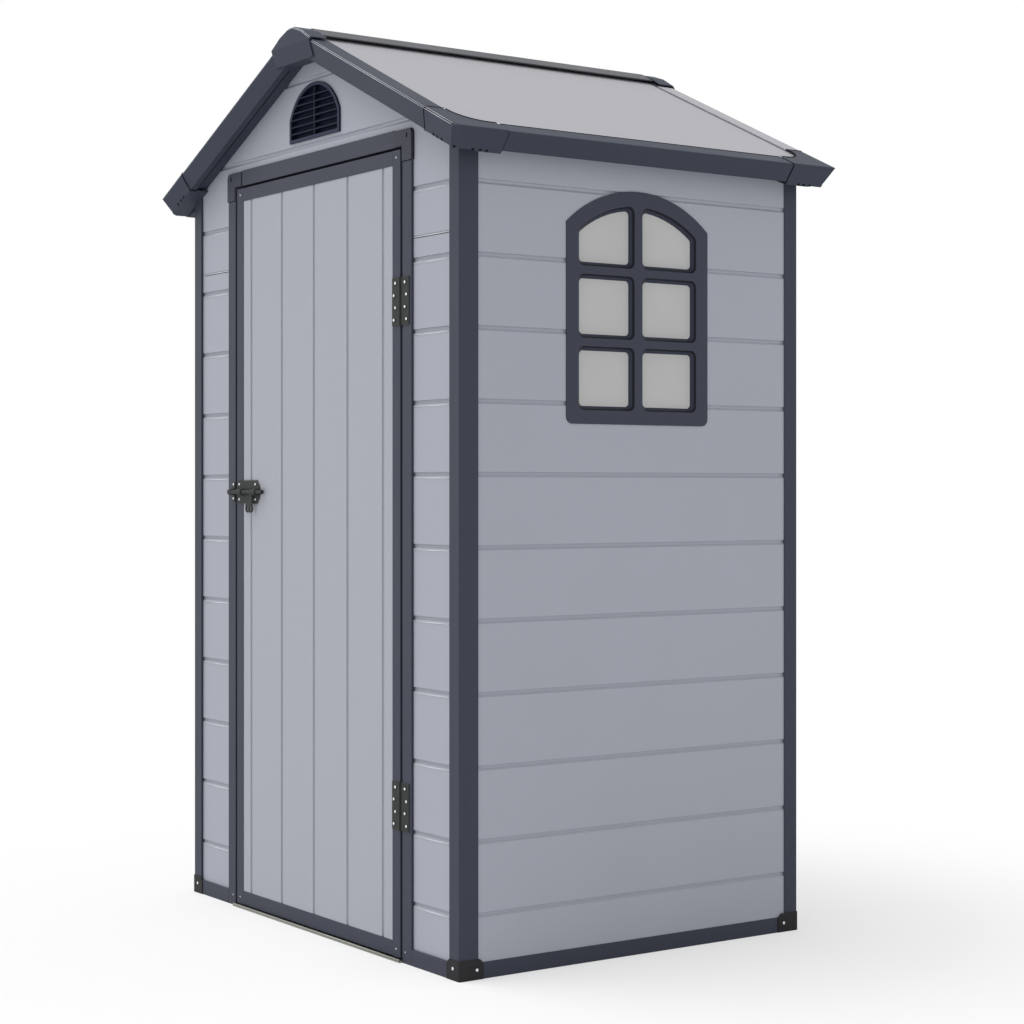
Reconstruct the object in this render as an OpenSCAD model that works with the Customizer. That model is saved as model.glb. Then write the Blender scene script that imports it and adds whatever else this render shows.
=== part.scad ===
// Plastic apex shed: a frame of hollow profiles on a floor, board-pattern wall panels,
// a hinged door with a padbolt, an arched window, a gable vent and a trimmed roof.
// Origin at the middle of the plan on the ground. The door faces -Y, the window +X.

/* [Frame] */
// Width over the corner posts
frame_w = 1200; // [1150:5:1500]
// Depth over the corner posts
frame_d = 916; // [820:4:1300]
// Width of a corner post's faces
post_face = 38; // [32:1:46]
// Radius of a post's outer corner
post_r = 3; // [2:0.5:6]
// Width of a front post's face on the side
front_leg = 46; // [38:1:56]
// Width of the bevel on a front post's corner, on the front
post_bevel_x = 2.5; // [1:0.5:6]
// Width of that bevel on the side
post_bevel_y = 14.5; // [6:0.5:20]
// How far a panel's edge is tucked into a frame profile
tuck = 8; // [5:1:12]
// Wall thickness of the hollow profiles
profile_wall = 3; // [2:0.5:4]
// Thickness of the lips that hold a panel from inside
lip_t = 3; // [2:0.5:4]
// How far a side panel lies back from the posts' faces
side_setback = 2; // [1.5:0.5:14]
// How far a front or back panel lies back from the posts' faces
front_setback = 5.5; // [4:0.5:9]

/* [Base] */
// Height of the base rails
rail_h = 34; // [26:1:45]
// Thickness of a rail under its panel
rail_base = 12; // [6:1:20]
// Thickness of a rail's inner lip
rail_lip = 6.5; // [4:0.5:8]
// Thickness of the floor plate
floor_t = 6; // [4:1:10]
// Clearance around the floor plate
floor_gap = 0.5; // [0.2:0.1:0.9]
// Clearance of the floor's corners around the posts
notch_gap = 1.5; // [0.5:0.5:4]
// Length of a base bracket along the front or back
bracket_x = 48; // [42:1:70]
// Length of a base bracket along a side
bracket_y = 60; // [42:1:90]
// Height of a base bracket
bracket_h = 41.6; // [36:0.2:60]
// Thickness of a base bracket
bracket_t = 2; // [1.5:0.5:3]
// Cut corner at the upper ends of a base bracket
bracket_cut = 9; // [4:1:12]

/* [Walls] */
// Thickness of a wall panel
panel_t = 12; // [9:1:14]
// Height of one board
board_pitch = 150; // [100:5:200]
// Height of the lowest board joint
first_joint = 135; // [80:5:200]
// Depth of the groove at a board joint
groove_depth = 4; // [2:0.5:5]
// Height of the straight part of a groove
groove_flat = 6.5; // [4:0.5:9]
// Height of a groove with its sloping lower lip
groove_h = 11; // [10:0.5:16]
// Height at which the gable panels stand on the lower panels
gable_z = 1530; // [1505:5:1600]
// Bevel along the joint between a lower panel and its gable
joint_bevel = 1.2; // [0.5:0.1:2]

/* [Door] */
// Width of the door leaf
door_w = 743; // [600:1:800]
// Height of the door leaf's underside above the ground
door_lift = 8; // [8:0.5:20]
// Height of the door leaf's top edge
door_top = 1718.5; // [1660:0.5:1725]
// Thickness of the door leaf's frame
leaf_t = 22; // [18:1:28]
// Width of the stiles
stile_w = 31.5; // [26:0.5:45]
// Height of the door's top rail
top_rail_h = 31.5; // [26:0.5:45]
// Height of the door's bottom rail
bottom_rail_h = 33; // [26:0.5:45]
// Thickness of the door panel
door_panel_t = 10; // [8:1:12]
// How far the door panel lies back from the leaf's face
door_panel_back = 1.5; // [1:0.5:6]
// Width of a groove in the door panel
door_groove_w = 10.5; // [6:0.5:14]
// Depth of a groove in the door panel
door_groove_depth = 3; // [2:0.5:4]
// Gap beside the leaf
side_gap = 8; // [7.5:0.5:10]
// Gap over the leaf
top_gap = 5.5; // [5:0.5:10]
// Width of a jamb
jamb_w = 37; // [30:0.5:50]
// Radius of a jamb's front corners
jamb_r = 2; // [1:0.5:3]
// Height of the header over the doorway
header_h = 36.5; // [30:0.5:50]
// Gap between the closed leaf and its stops
stop_gap = 5; // [5:0.5:8]
// Thickness of the stops
stop_t = 3; // [2:0.5:5]
// How far the stops reach over the leaf's edge
stop_cover = 6.5; // [4:0.5:12]
// Thickness of the threshold plate
threshold_t = 2.5; // [2:0.5:4]
// How far the threshold reaches in front of the frame
threshold_out = 8; // [2:1:20]
// Length of a header elbow along the header
elbow_x = 70; // [60:1:90]
// Length of a header elbow down the jamb
elbow_z = 66.5; // [60:0.5:90]
// How far an elbow's top lies below the header's top
elbow_drop = 2; // [0:0.5:4]
// Width of an elbow's edge around the frame's corner
elbow_rim = 1.5; // [1:0.5:3]
// Thickness of an elbow's face
elbow_t = 1.8; // [1.5:0.1:2.5]
// How far an elbow's inner edges lie back from the doorway
elbow_inset = 1; // [0.5:0.5:3]
// Radius of an elbow's outer corner
elbow_r = 12; // [8:1:20]

/* [Hinges] */
// Height of a butt hinge
hinge_h = 102; // [76:1:120]
// Width of one leaf from the pin's axis
hinge_leaf_w = 33.5; // [25:0.5:38]
// Thickness of a leaf
hinge_leaf_t = 2; // [1.5:0.5:3]
// Diameter of the knuckles
knuckle_d = 7; // [6:0.5:7]
// Diameter of the hinge pin
pin_d = 3.5; // [3:0.1:4]
// Clearance between the pin and its bore, on the radius
pin_fit = 0.05; // [0.02:0.01:0.1]
// Gap between knuckles
knuckle_gap = 0.5; // [0.4:0.1:1]
// Height of the lower hinge's middle
lower_hinge_z = 329.5; // [200:0.5:500]
// Height of the upper hinge's middle
upper_hinge_z = 1397; // [1200:1:1550]
// Angle to which the door opens
door_open = 110; // [80:1:120]

/* [Padbolt] */
// Height of the bolt's axis
bolt_z = 993; // [800:1:1200]
// Diameter of the bolt's rod
bolt_d = 10; // [8:0.5:12]
// Length of the bolt's rod
bolt_l = 140; // [136:1:160]
// Travel of the bolt
bolt_travel = 30; // [20:1:32]
// Height of the back plate
bolt_plate_h = 55; // [48:1:60]
// Length of the back plate
bolt_plate_l = 114; // [110:1:130]
// Thickness of the back plate and the keeper's base
bolt_plate_t = 2; // [1.5:0.5:3]
// Gap between the rod and its back plate
bolt_stand = 1; // [0.5:0.5:2]
// Clearance of the rod in its guides, on the radius
bolt_fit = 0.5; // [0.3:0.1:0.8]
// Wall of the guides and of the keeper's hoop
guide_wall = 2; // [1.5:0.5:3]
// Width of the drop handle
handle_w = 12; // [8:1:14]
// Thickness of the drop handle and of the staple
handle_t = 3; // [2:0.5:4]
// How far the padlock eyes lie below the bolt's axis
eye_drop = 40; // [36:1:50]
// Outer diameter of the padlock eyes
eye_d = 18; // [15:1:22]
// Diameter of the holes for a padlock
eye_hole_d = 9; // [6:0.5:10]

/* [Window] */
// Width of the window frame
window_w = 384; // [300:4:440]
// Place of the window's middle along the wall
window_y = 2.5; // [-40:0.5:40]
// Height of the window frame's lower edge
window_z = 1137.5; // [1000:0.5:1180]
// Height at which the window's arch springs
window_spring = 1562; // [1540:1:1580]
// Rise of the window's arch
window_rise = 76; // [50:1:85]
// Width of the frame's sides and arch
window_border = 31.5; // [24:0.5:40]
// Height of the frame's lower border
window_sill = 29; // [20:1:40]
// Width of the middle bar
window_mullion = 20; // [16:1:30]
// Height of the cross bars
window_bar = 16.4; // [10:0.2:24]
// Height of the two lower rows of panes
pane_h = 136.2; // [100:0.2:150]
// Radius in the corners of the panes
pane_r = 14; // [6:1:20]
// Width of the bevel around each pane
pane_bevel = 9.5; // [5:0.5:12]
// Radius in the corners of the panes at the glazing
pane_back_r = 9; // [2:0.5:14]
// Radius of the window frame's lower corners
window_r = 16; // [4:1:24]
// Depth of the glazing behind the window's face
window_depth = 11.5; // [8:0.5:13]
// Thickness of the glazing
glazing_t = 3; // [2:0.5:5]
// How far the collar behind the frame lies inside its outline
collar_inset = 12; // [8:1:16]
// Thickness of the collar
collar_t = 4; // [3:0.5:6]
// Clearance between a collar and its hole, and between glazing and collar
collar_gap = 0.5; // [0.2:0.1:0.9]

/* [Vent] */
// Width of the gable vent
vent_w = 225.8; // [150:0.2:300]
// Height of the vent's lower edge
vent_z = 1792.3; // [1775:0.1:1820]
// Height of the vent's sides
vent_side_h = 51.7; // [30:0.1:70]
// Rise of the vent's arch
vent_rise = 75.3; // [40:0.1:90]
// Width of the vent's border
vent_border = 7.7; // [5:0.1:12]
// Thickness of the vent's collar through the wall
vent_collar = 2.5; // [2:0.1:4]
// How far the vent stands in front of the wall
vent_proud = 4.8; // [3:0.1:8]
// Number of slats
slat_n = 6; // [3:1:8]
// Spacing of the slats
slat_pitch = 15.8; // [12:0.1:20]
// Depth of a slat, measured along its slope
slat_d = 13; // [8:0.5:15]
// Thickness of a slat
slat_t = 2.2; // [1.5:0.1:3]
// Slope of a slat
slat_tilt = 38; // [20:1:50]
// Width of the upright in the middle of the vent
vent_mullion = 4; // [3:0.5:8]

/* [Roof] */
// Slope of the roof
roof_pitch = 24.84; // [18:0.01:30]
// Height of the roof's top surface at the eaves
eave_z = 1722; // [1715:1:1730]
// How far the eaves reach beyond the posts
eave_reach = 73; // [60:1:100]
// How far the verges reach beyond the posts
verge_reach = 58; // [45:1:90]
// Thickness of a roof panel
roof_t = 10; // [6:1:16]
// Distance of a roof panel's ends from the verges' outer edges
roof_gap = 15; // [12:1:20]
// Distance of a roof panel's lower edge from the eave's outer edge, down the slope
fascia_gap = 8; // [7:0.5:12]
// Thickness of the roof trims
trim_t = 3; // [2:0.5:4]
// Width of the verge's flange on the roof
verge_flange = 50; // [35:1:60]
// Width of the eave's flange on the roof, measured across
eave_flange = 48; // [35:1:60]
// Height of the eave's fascia
fascia_h = 36; // [28:1:40]
// How far the corner caps reach below the fascia
cap_drop = 4; // [1:0.5:6]
// Radius of the edge between an eave's flange and its fascia
eave_r = 5; // [3.5:0.5:8]
// How far the fascia leans back at its lower edge
fascia_lean = 28; // [18:1:32]
// How far the soffit rises from the fascia to the wall
soffit_rise = 12; // [8:0.5:16]
// Depth of the verge's face, square to the roof
verge_h = 47; // [35:1:52]
// How far the verge's face leans back at its lower edge
verge_lean = 16; // [5:1:20]
// Radius of a verge's outer edge
verge_r = 6; // [3.5:0.5:8]
// Radius of the groove along the edges of the verges and the caps
groove_r = 1; // [0.5:0.1:1.5]
// Width of the lip under a verge's face
verge_lip = 16; // [8:1:24]
// Height of the step behind that lip
verge_step = 5; // [3:0.5:7]
// How far a verge's soffit rises from the step to the wall
verge_soffit = 3; // [0:0.5:6]
// Length of the corner caps along the verge, measured across
corner_x = 117; // [90:1:160]
// Length of the corner caps along the eave
corner_y = 130; // [90:1:180]
// Width of the corner caps' bevel along the verge, measured across
bevel_x = 10; // [6:1:16]
// Width of the corner caps' bevel along the eave
bevel_y = 12; // [6:1:16]
// How far the corner caps stand proud of the trims
cap_proud = 1.5; // [0.5:0.1:2]
// Radius inside the corner caps' flanges
corner_fillet = 66; // [20:1:68]
// Gap between the trims and the walls
seat_gap = 0.3; // [0.1:0.1:0.8]
// Half width of the ridge strip
ridge_half = 60; // [40:1:80]
// Half width of the ridge strip's flat top
ridge_flat = 16; // [8:1:24]
// Height of the ridge strip's edge above the roof's top surface
ridge_lift = 7.3; // [4:0.1:12]
// How far the ridge strip's top lies above the ridge line
ridge_top = 1.5; // [0:0.5:6]
// Half thickness of the ridge strip's web
web_half = 3; // [2:0.5:3.5]
// Gap between the roof panels and the ridge strip's web
web_gap = 0.6; // [0.3:0.1:1]
// Half width of the ridge strip's lower flange
ridge_lower = 45; // [30:1:60]
// Half width of the ridge caps
ridge_cap_half = 85.5; // [80:0.5:110]
// Height of a ridge cap's shoulders above the roof's top surface
shoulder_lift = 10.7; // [9:0.1:16]
// Height of a ridge cap's ends above the roof's top surface
cap_end_lift = 6.6; // [6:0.1:10]
// Distance of a ridge cap's shoulders from the middle
shoulder_x = 48; // [30:1:60]
// Height of a ridge cap's face below the ridge line
ridge_cap_h = 77; // [60:1:90]
// Half width of a ridge cap's crest
crest_x = 12; // [6:1:20]
// Height of a ridge cap's crest above the ridge line
crest_lift = 0.8; // [0.4:0.1:3]
// Depth of the bevel along a ridge cap's front edge
cap_edge_y = 6; // [3:0.5:8]
// Height of the bevel along a ridge cap's front edge
cap_edge_z = 5.5; // [3:0.5:6]
// How far a ridge cap's soffit rises towards the wall
cap_soffit_rise = 8; // [0:0.5:12]

/* [Hidden] */
$fn = 48;
// Pieces of a rounded edge
arc_steps = 4;
// Overlap of a cut beyond the face that it opens
cut = 1;
// Thickness of a slice between which a shape is drawn out
slice = 0.01;
far = 2000;

// Planes of the frame and of the wall panels
half_w = frame_w / 2;
half_d = frame_d / 2;
wall_x = half_w - side_setback;
wall_y = half_d - front_setback;
post_x = half_w - post_face;
post_y = half_d - post_face;
pane_x = half_w - window_depth;
core_x = post_x + tuck;
core_y = post_y + tuck;
side_lip_x = wall_x - panel_t - rail_lip;
end_lip_y = wall_y - panel_t - rail_lip;

// Doorway
leaf_x = door_w / 2;
jamb_x = leaf_x + side_gap;
jamb_out = jamb_x + jamb_w;
jamb_core = jamb_out - tuck;
jamb_d = leaf_t + stop_gap + stop_t;
header_z = door_top + top_gap;
header_top = header_z + header_h;
header_core = header_top - tuck - 4;
elbow_right = jamb_out + elbow_rim;
elbow_top = header_top - elbow_drop;
leaf_y = -half_d;
door_panel_x = leaf_x - stile_w + tuck;
hinge_x = leaf_x + side_gap / 2;
hinge_y = leaf_y - hinge_leaf_t / 2;
hinge_r = knuckle_d / 2;

// Padbolt: the rod is drawn back at rest
bolt_y = leaf_y - bolt_plate_t - bolt_stand - bolt_d / 2;
bolt_tip = -leaf_x + 1.5;
plate_x = -leaf_x + 3.5;
guide_end = plate_x + bolt_plate_l;
near_guide = [plate_x + 15, plate_x + 39];
far_guide = [guide_end - 20, guide_end - 4];
handle_x = (near_guide[1] + far_guide[0] + bolt_travel) / 2;

// Roof
roof_half = half_w + eave_reach;
roof_slope = tan(roof_pitch);
ridge_z = eave_z + roof_half * roof_slope;
eave_s = roof_half / cos(roof_pitch);
verge_y = half_d + verge_reach;
panel_n = -trim_t - seat_gap - roof_t;
corner_s = (roof_half - corner_x) / cos(roof_pitch);
flange_s = (roof_half - eave_flange) / cos(roof_pitch);
ridge_y = verge_y - verge_flange + 5;
cap_edge_a = atan(cap_edge_z / cap_edge_y);
cap_face = verge_y + seat_gap + trim_t;

// Height of the plane n above the roof's top surface, at a distance x from the middle
function roof_z(x, n = 0) = ridge_z - roof_slope * abs(x) + n / cos(roof_pitch);

// Height of the walls' tops, just under the roof panels
function wall_top(x) = roof_z(x, panel_n) - seat_gap;

// Outer face of a panel from z0 up to z1, with a groove at each board joint between them
function board_face(z0, z1, low_bevel = 0, high_bevel = 0) = concat(
    [[-low_bevel, z0], [0, z0 + low_bevel]],
    [for (z = [first_joint : board_pitch : z1 - cut])
        if (z - groove_h > z0 + cut && z < z1 - cut)
            each [[0, z - groove_h], [-groove_depth, z - groove_flat], [-groove_depth, z], [0, z]]],
    [[0, z1 - high_bevel], [-high_bevel, z1]]);

// Outward unit normal of a path's piece, which lies on the left of its direction
function side_of(a, b) = let (v = (b - a) / norm(b - a)) [-v[1], v[0]];

// A path moved outwards by d, with mitred corners
function mitred(path, d) = [for (i = [0 : len(path) - 1])
    let (a = side_of(path[max(i - 1, 0)], path[max(i, 1)]))
    let (b = i < len(path) - 1 ? side_of(path[i], path[i + 1]) : a)
    path[i] + d * (a + b) / (1 + a * b)];

function reversed(path) = [for (i = [len(path) - 1 : -1 : 0]) path[i]];

// Closed outline of a sheet between two distances from a path
function sheet(path, outer, inner) = concat(mitred(path, outer), reversed(mitred(path, inner)));

// Points of the arc that rounds the corner b between a and c
function rounded(a, b, c, r) =
    let (u = (a - b) / norm(a - b), v = (c - b) / norm(c - b), half = acos(u * v) / 2)
    let (middle = b + (u + v) / norm(u + v) * r / sin(half))
    let (start = b + u * r / tan(half) - middle, end = b + v * r / tan(half) - middle)
    let (from = atan2(start[1], start[0]), turn = (atan2(end[1], end[0]) - from) / arc_steps)
    [for (i = [0 : arc_steps]) middle + r * [cos(from + i * turn), sin(from + i * turn)]];

// Eave across the house: flange, rounded edge, raking fascia of height h, and soffit
eave_start = [roof_half - eave_flange, roof_z(roof_half - eave_flange)];
soffit_z = eave_z - fascia_h + soffit_rise;
function fascia_low(h) = [roof_half - fascia_lean * h / fascia_h, eave_z - h];
function eave_path(h) = concat(
    [eave_start], rounded(eave_start, [roof_half, eave_z], fascia_low(h), eave_r),
    [fascia_low(h), [wall_x + seat_gap, soffit_z]]);
cap_h = fascia_h + cap_drop;

// Height of the posts' side legs, just under the corner caps
cap_low = fascia_low(cap_h);
soffit_part = (cap_low[0] - half_w) / (cap_low[0] - wall_x - seat_gap);
post_top = cap_low[1] + (soffit_z - cap_low[1]) * soffit_part - cap_proud - 3 * seat_gap;

// Verge along the house and square to the roof: flange, rounded edge and raking face
verge_start = [verge_y - verge_flange, 0];
verge_low = [verge_y - verge_lean, -verge_h];
verge_face = concat([verge_start], rounded(verge_start, [verge_y, 0], verge_low, verge_r), [verge_low]);
verge_path = concat(verge_face, [
    verge_low - [verge_lip, 0],
    verge_low - [verge_lip, -verge_step],
    [wall_y + seat_gap, -verge_h + verge_step + verge_soffit]
]);
// The corner caps have a level underside between their face and the wall
cap_path = concat(verge_face, [[wall_y + seat_gap, -verge_h]]);
cap_under = -verge_h - cap_proud;

// Edge between a corner cap's two faces, and the plane that bevels it
edge_lean = verge_lean / verge_h * (fascia_h + roof_slope * fascia_lean) * cos(roof_pitch);
bevel_side = cross([bevel_x, -bevel_y, -roof_slope * bevel_x], [-fascia_lean, -edge_lean, -fascia_h]);
bevel_n = bevel_side / norm(bevel_side);

module both_x() {
    children();
    mirror([1, 0, 0]) children();
}

module both_y() {
    children();
    mirror([0, 1, 0]) children();
}

// Upright prism between two heights, drawn in plan
module upright(z0, z1) {
    translate([0, 0, z0]) linear_extrude(z1 - z0) children();
}

// Prism along Y between two places, drawn as X and Z
module along_y(y0, y1) {
    translate([0, y1, 0]) rotate([90, 0, 0]) linear_extrude(y1 - y0) children();
}

// Prism along X between two places, drawn as Y and Z
module along_x(x0, x1) {
    translate([x0, 0, 0]) rotate([90, 0, 90]) linear_extrude(x1 - x0) children();
}

module rect(x0, y0, x1, y1) {
    translate([x0, y0]) square([x1 - x0, y1 - y0]);
}

module block(a, b) {
    translate(a) cube(b - a);
}

// What is cut from a square corner at the origin to round it, its body lying towards -X and -Y
module corner_notch(r) {
    difference() {
        rect(-r, -r, cut, cut);
        translate([-r, -r]) circle(r);
    }
}

// Arched outline: straight sides up to the springing, then a segment of a circle
module arch_area(w, z0, spring, rise, inset = 0, sill = 0, corner_r = 0) {
    full_r = (w * w / 4 + rise * rise) / (2 * rise);
    arch_z = spring + rise - full_r;
    half = w / 2 - inset;
    r = full_r - inset;
    low = z0 + sill;
    side_top = arch_z + sqrt(r * r - half * half);
    difference() {
        union() {
            rect(-half, low, half, side_top);
            intersection() {
                translate([0, arch_z]) circle(r, $fn = 96);
                rect(-half, side_top - cut, half, arch_z + r + cut);
            }
        }
        if (corner_r > 0) both_x() translate([half, low]) mirror([0, 1]) corner_notch(corner_r);
    }
}

// ---- Base ----

module floor_plate() {
    color("#b9bcc0") difference() {
        block([-side_lip_x + floor_gap, -half_d + jamb_d + floor_gap, 0],
              [side_lip_x - floor_gap, end_lip_y - floor_gap, floor_t]);
        both_x() both_y() upright(-cut, floor_t + cut)
            rect(core_x - notch_gap, core_y - notch_gap, half_w, half_d);
    }
}

module threshold_plate() {
    color("#a7a89f") difference() {
        block([-jamb_x, leaf_y - threshold_out, 0], [jamb_x, leaf_y + jamb_d, threshold_t]);
        translate([0, leaf_y - threshold_out, threshold_t]) rotate([45, 0, 0])
            cube([door_w + far, 1.4, 1.4], center = true);
    }
}

// Rail section that holds a panel whose outer face is at 0, its own outer face at proud
module rail_section(proud) {
    bevel = 1;
    difference() {
        polygon([[-panel_t - rail_lip, 0], [proud, 0], [proud, rail_h - bevel], [proud - bevel, rail_h],
                 [-panel_t - rail_lip, rail_h]]);
        rect(-panel_t, rail_base, 0, rail_h + cut);
    }
}

module front_rail() {
    color("#4f5361") mirror([0, 1, 0]) along_x(jamb_out, post_x)
        translate([wall_y, 0]) rail_section(front_setback);
}

module back_rail() {
    color("#4f5361") along_x(-post_x, post_x) translate([wall_y, 0]) rail_section(front_setback);
}

module side_rail() {
    color("#454957") along_y(front_leg - half_d, post_y) translate([wall_x, 0])
        rail_section(side_setback);
}

// Plan of a corner post in the quarter +X +Y, its face on the side as wide as leg
module post_legs(leg) {
    rect(post_x, wall_y, half_w, half_d);
    rect(wall_x, half_d - leg, half_w, half_d);
}

// Front of a post's leg, from the legs' top up to the corner cap's underside
module post_riser() {
    along_y(wall_y + 2 * seat_gap, half_d)
        polygon([[post_x, post_top - cut], [half_w, post_top - cut],
                 [half_w, roof_z(half_w, cap_under - seat_gap)],
                 [post_x, roof_z(post_x, cap_under - seat_gap)]]);
}

module post_core(leg) {
    rect(core_x, core_y, wall_x, wall_y);
    rect(post_x, wall_y - panel_t - lip_t, core_x, wall_y - panel_t);
    rect(wall_x - panel_t - lip_t, half_d - leg, wall_x - panel_t, core_y);
}

module post(leg) {
    color("#464a58") difference() {
        union() {
            upright(0, post_top) post_legs(leg);
            post_riser();
            upright(0, wall_top(wall_x)) post_core(leg);
        }
        upright(-cut, far) {
            rect(core_x + profile_wall, core_y + profile_wall, wall_x - profile_wall, wall_y - profile_wall);
            translate([half_w, half_d]) corner_notch(post_r);
        }
    }
}

// A front post has a wider face on the side and a bevel on its corner
module front_post() {
    mirror([0, 1, 0]) difference() {
        post(front_leg);
        upright(-cut, far) polygon([[half_w - post_bevel_x, half_d], [half_w, half_d - post_bevel_y],
                                    [half_w + cut, half_d + cut]]);
    }
}

module base_bracket() {
    out_x = half_w + bracket_t;
    out_y = half_d + bracket_t;
    color("#2c2f36") difference() {
        upright(0, bracket_h) difference() {
            rect(out_x - bracket_x, out_y - bracket_y, out_x, out_y);
            rect(0, 0, half_w - post_r, half_d);
            rect(0, 0, half_w, half_d - post_r);
            translate([half_w - post_r, half_d - post_r]) circle(post_r);
            translate([out_x, out_y]) corner_notch(post_r + bracket_t);
        }
        translate([out_x - bracket_x, 0, bracket_h]) rotate([0, 45, 0])
            cube([bracket_cut * sqrt(2), far, bracket_cut * sqrt(2)], center = true);
        translate([0, out_y - bracket_y, bracket_h]) rotate([45, 0, 0])
            cube([far, bracket_cut * sqrt(2), bracket_cut * sqrt(2)], center = true);
    }
}

// ---- Walls ----

module front_strip() {
    color("#a9acb4") mirror([0, 1, 0]) along_x(jamb_core, core_x) translate([wall_y, 0])
        polygon(concat(board_face(rail_base, gable_z, 0, joint_bevel),
                       [[-panel_t, gable_z], [-panel_t, rail_base]]));
}

// Gable panel in the plane of +Y, from z0 up to the underside of the roof
module gable(z0) {
    intersection() {
        along_x(-core_x, core_x) translate([wall_y, 0])
            polygon(concat(board_face(z0, ridge_z, joint_bevel),
                           [[-panel_t, ridge_z], [-panel_t, z0]]));
        along_y(0, half_d) polygon([[-core_x, z0], [core_x, z0], [core_x, wall_top(core_x)],
                                    [0, wall_top(0)], [-core_x, wall_top(core_x)]]);
    }
}

module vent_outline(inset) {
    arch_area(vent_w, vent_z, vent_z + vent_side_h, vent_rise, inset, inset);
}

module front_gable_panel() {
    color("#a9acb4") mirror([0, 1, 0]) difference() {
        gable(gable_z);
        block([-jamb_core, 0, gable_z - cut], [jamb_core, half_d, header_core]);
        along_y(0, half_d) vent_outline(vent_border - vent_collar - collar_gap);
    }
}

module back_lower_wall() {
    color("#9fa2ac") along_x(-core_x, core_x) translate([wall_y, 0])
        polygon(concat(board_face(rail_base, gable_z, 0, joint_bevel),
                       [[-panel_t, gable_z], [-panel_t, rail_base]]));
}

module side_panel() {
    along_y(-core_y, core_y) translate([wall_x, 0])
        polygon(concat(board_face(rail_base, wall_top(wall_x)),
                       [[-panel_t, wall_top(wall_x - panel_t)], [-panel_t, rail_base]]));
}

module window_outline(inset, sill, corner_r = 0) {
    arch_area(window_w, window_z, window_spring, window_rise, inset, sill, corner_r);
}

// Prism along X between two places, drawn about the window's middle
module at_window(x0, x1) {
    along_x(x0, x1) translate([window_y, 0]) children();
}

module right_panel() {
    color("#989ba8") difference() {
        side_panel();
        at_window(0, far) window_outline(collar_inset - collar_gap, collar_inset - collar_gap);
    }
}

// ---- Doorway ----

// Plan of the right jamb, its front face towards +Y; the door panel's side is at jamb_x
module jamb_plan() {
    difference() {
        union() {
            rect(jamb_x, half_d - jamb_d, jamb_core, half_d);
            rect(jamb_core - cut, wall_y, jamb_out, half_d);
            rect(jamb_core - cut, half_d - jamb_d, jamb_out, wall_y - panel_t);
        }
        translate([jamb_x, half_d]) mirror([1, 0]) corner_notch(jamb_r);
        translate([jamb_out, half_d]) corner_notch(jamb_r);
        rect(jamb_x + profile_wall, half_d - jamb_d + profile_wall,
             jamb_core - profile_wall, half_d - profile_wall);
    }
}

module jamb() {
    color("#4b4f5c") mirror([0, 1, 0]) upright(0, header_z) jamb_plan();
}

module header_bar() {
    color("#4b4f5c") mirror([0, 1, 0]) difference() {
        union() {
            block([-jamb_core, half_d - jamb_d, header_z], [jamb_core, half_d, header_core]);
            along_y(wall_y, half_d) difference() {
                rect(-jamb_out, header_z, jamb_out, header_top);
                both_x() {
                    rect(elbow_right - elbow_x, elbow_top - elbow_rim, jamb_out + cut, header_top + cut);
                    translate([jamb_out, elbow_top - elbow_rim]) corner_notch(elbow_r - elbow_rim);
                }
            }
            along_y(half_d - jamb_d, wall_y - panel_t) rect(-jamb_out, header_z, jamb_out, header_top);
        }
        along_x(-jamb_core + profile_wall, jamb_core - profile_wall)
            rect(half_d - jamb_d + profile_wall, header_z + profile_wall,
                 half_d - profile_wall, header_core - profile_wall);
    }
}

module stops() {
    y0 = leaf_y + leaf_t + stop_gap;
    inner = leaf_x - stop_cover;
    color("#2f323b") {
        both_x() block([inner, y0, threshold_t], [jamb_x, y0 + stop_t, header_z]);
        block([-inner, y0, door_top - stop_cover], [inner, y0 + stop_t, header_z]);
    }
}

// Elbow that covers the corner where a jamb meets the header
module elbow() {
    color("#3b3f4b") mirror([0, 1, 0]) difference() {
        along_y(wall_y, half_d + elbow_t) difference() {
            rect(elbow_right - elbow_x, elbow_top - elbow_z, elbow_right, elbow_top);
            rect(0, 0, jamb_x + elbow_inset, header_z + elbow_inset);
            translate([elbow_right, elbow_top]) corner_notch(elbow_r);
        }
        along_y(wall_y - cut, half_d) difference() {
            rect(0, 0, jamb_out, elbow_top - elbow_rim);
            translate([jamb_out, elbow_top - elbow_rim]) corner_notch(elbow_r - elbow_rim);
        }
    }
}

// ---- Door ----

module leaf_panel() {
    z0 = door_lift + bottom_rail_h - tuck;
    z1 = door_top - top_rail_h + tuck;
    y0 = leaf_y + door_panel_back;
    half_groove = door_groove_w / 2;
    joints = floor((leaf_x - stile_w - half_groove) / board_pitch);
    color("#a6aab2") difference() {
        block([-door_panel_x, y0, z0], [door_panel_x, y0 + door_panel_t, z1]);
        for (i = [-joints : joints]) upright(z0 - cut, z1 + cut) translate([i * board_pitch, y0])
            polygon([[-half_groove, -cut], [-half_groove, 0], [1 - half_groove, door_groove_depth],
                     [half_groove - 1, door_groove_depth], [half_groove, 0], [half_groove, -cut]]);
    }
}

// Section of a leaf member: its outer edge at 0, the panel's slot at its inner edge
module member_section(w) {
    difference() {
        rect(-w, 0, 0, leaf_t);
        rect(-w - cut, door_panel_back, tuck - w, door_panel_back + door_panel_t);
        mirror([0, 1]) corner_notch(1.5);
        translate([-w, 0]) mirror([1, 0]) mirror([0, 1]) corner_notch(min(1.5, door_panel_back / 2));
    }
}

module stile() {
    color("#454957") upright(door_lift, door_top) translate([leaf_x, leaf_y]) member_section(stile_w);
}

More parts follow.
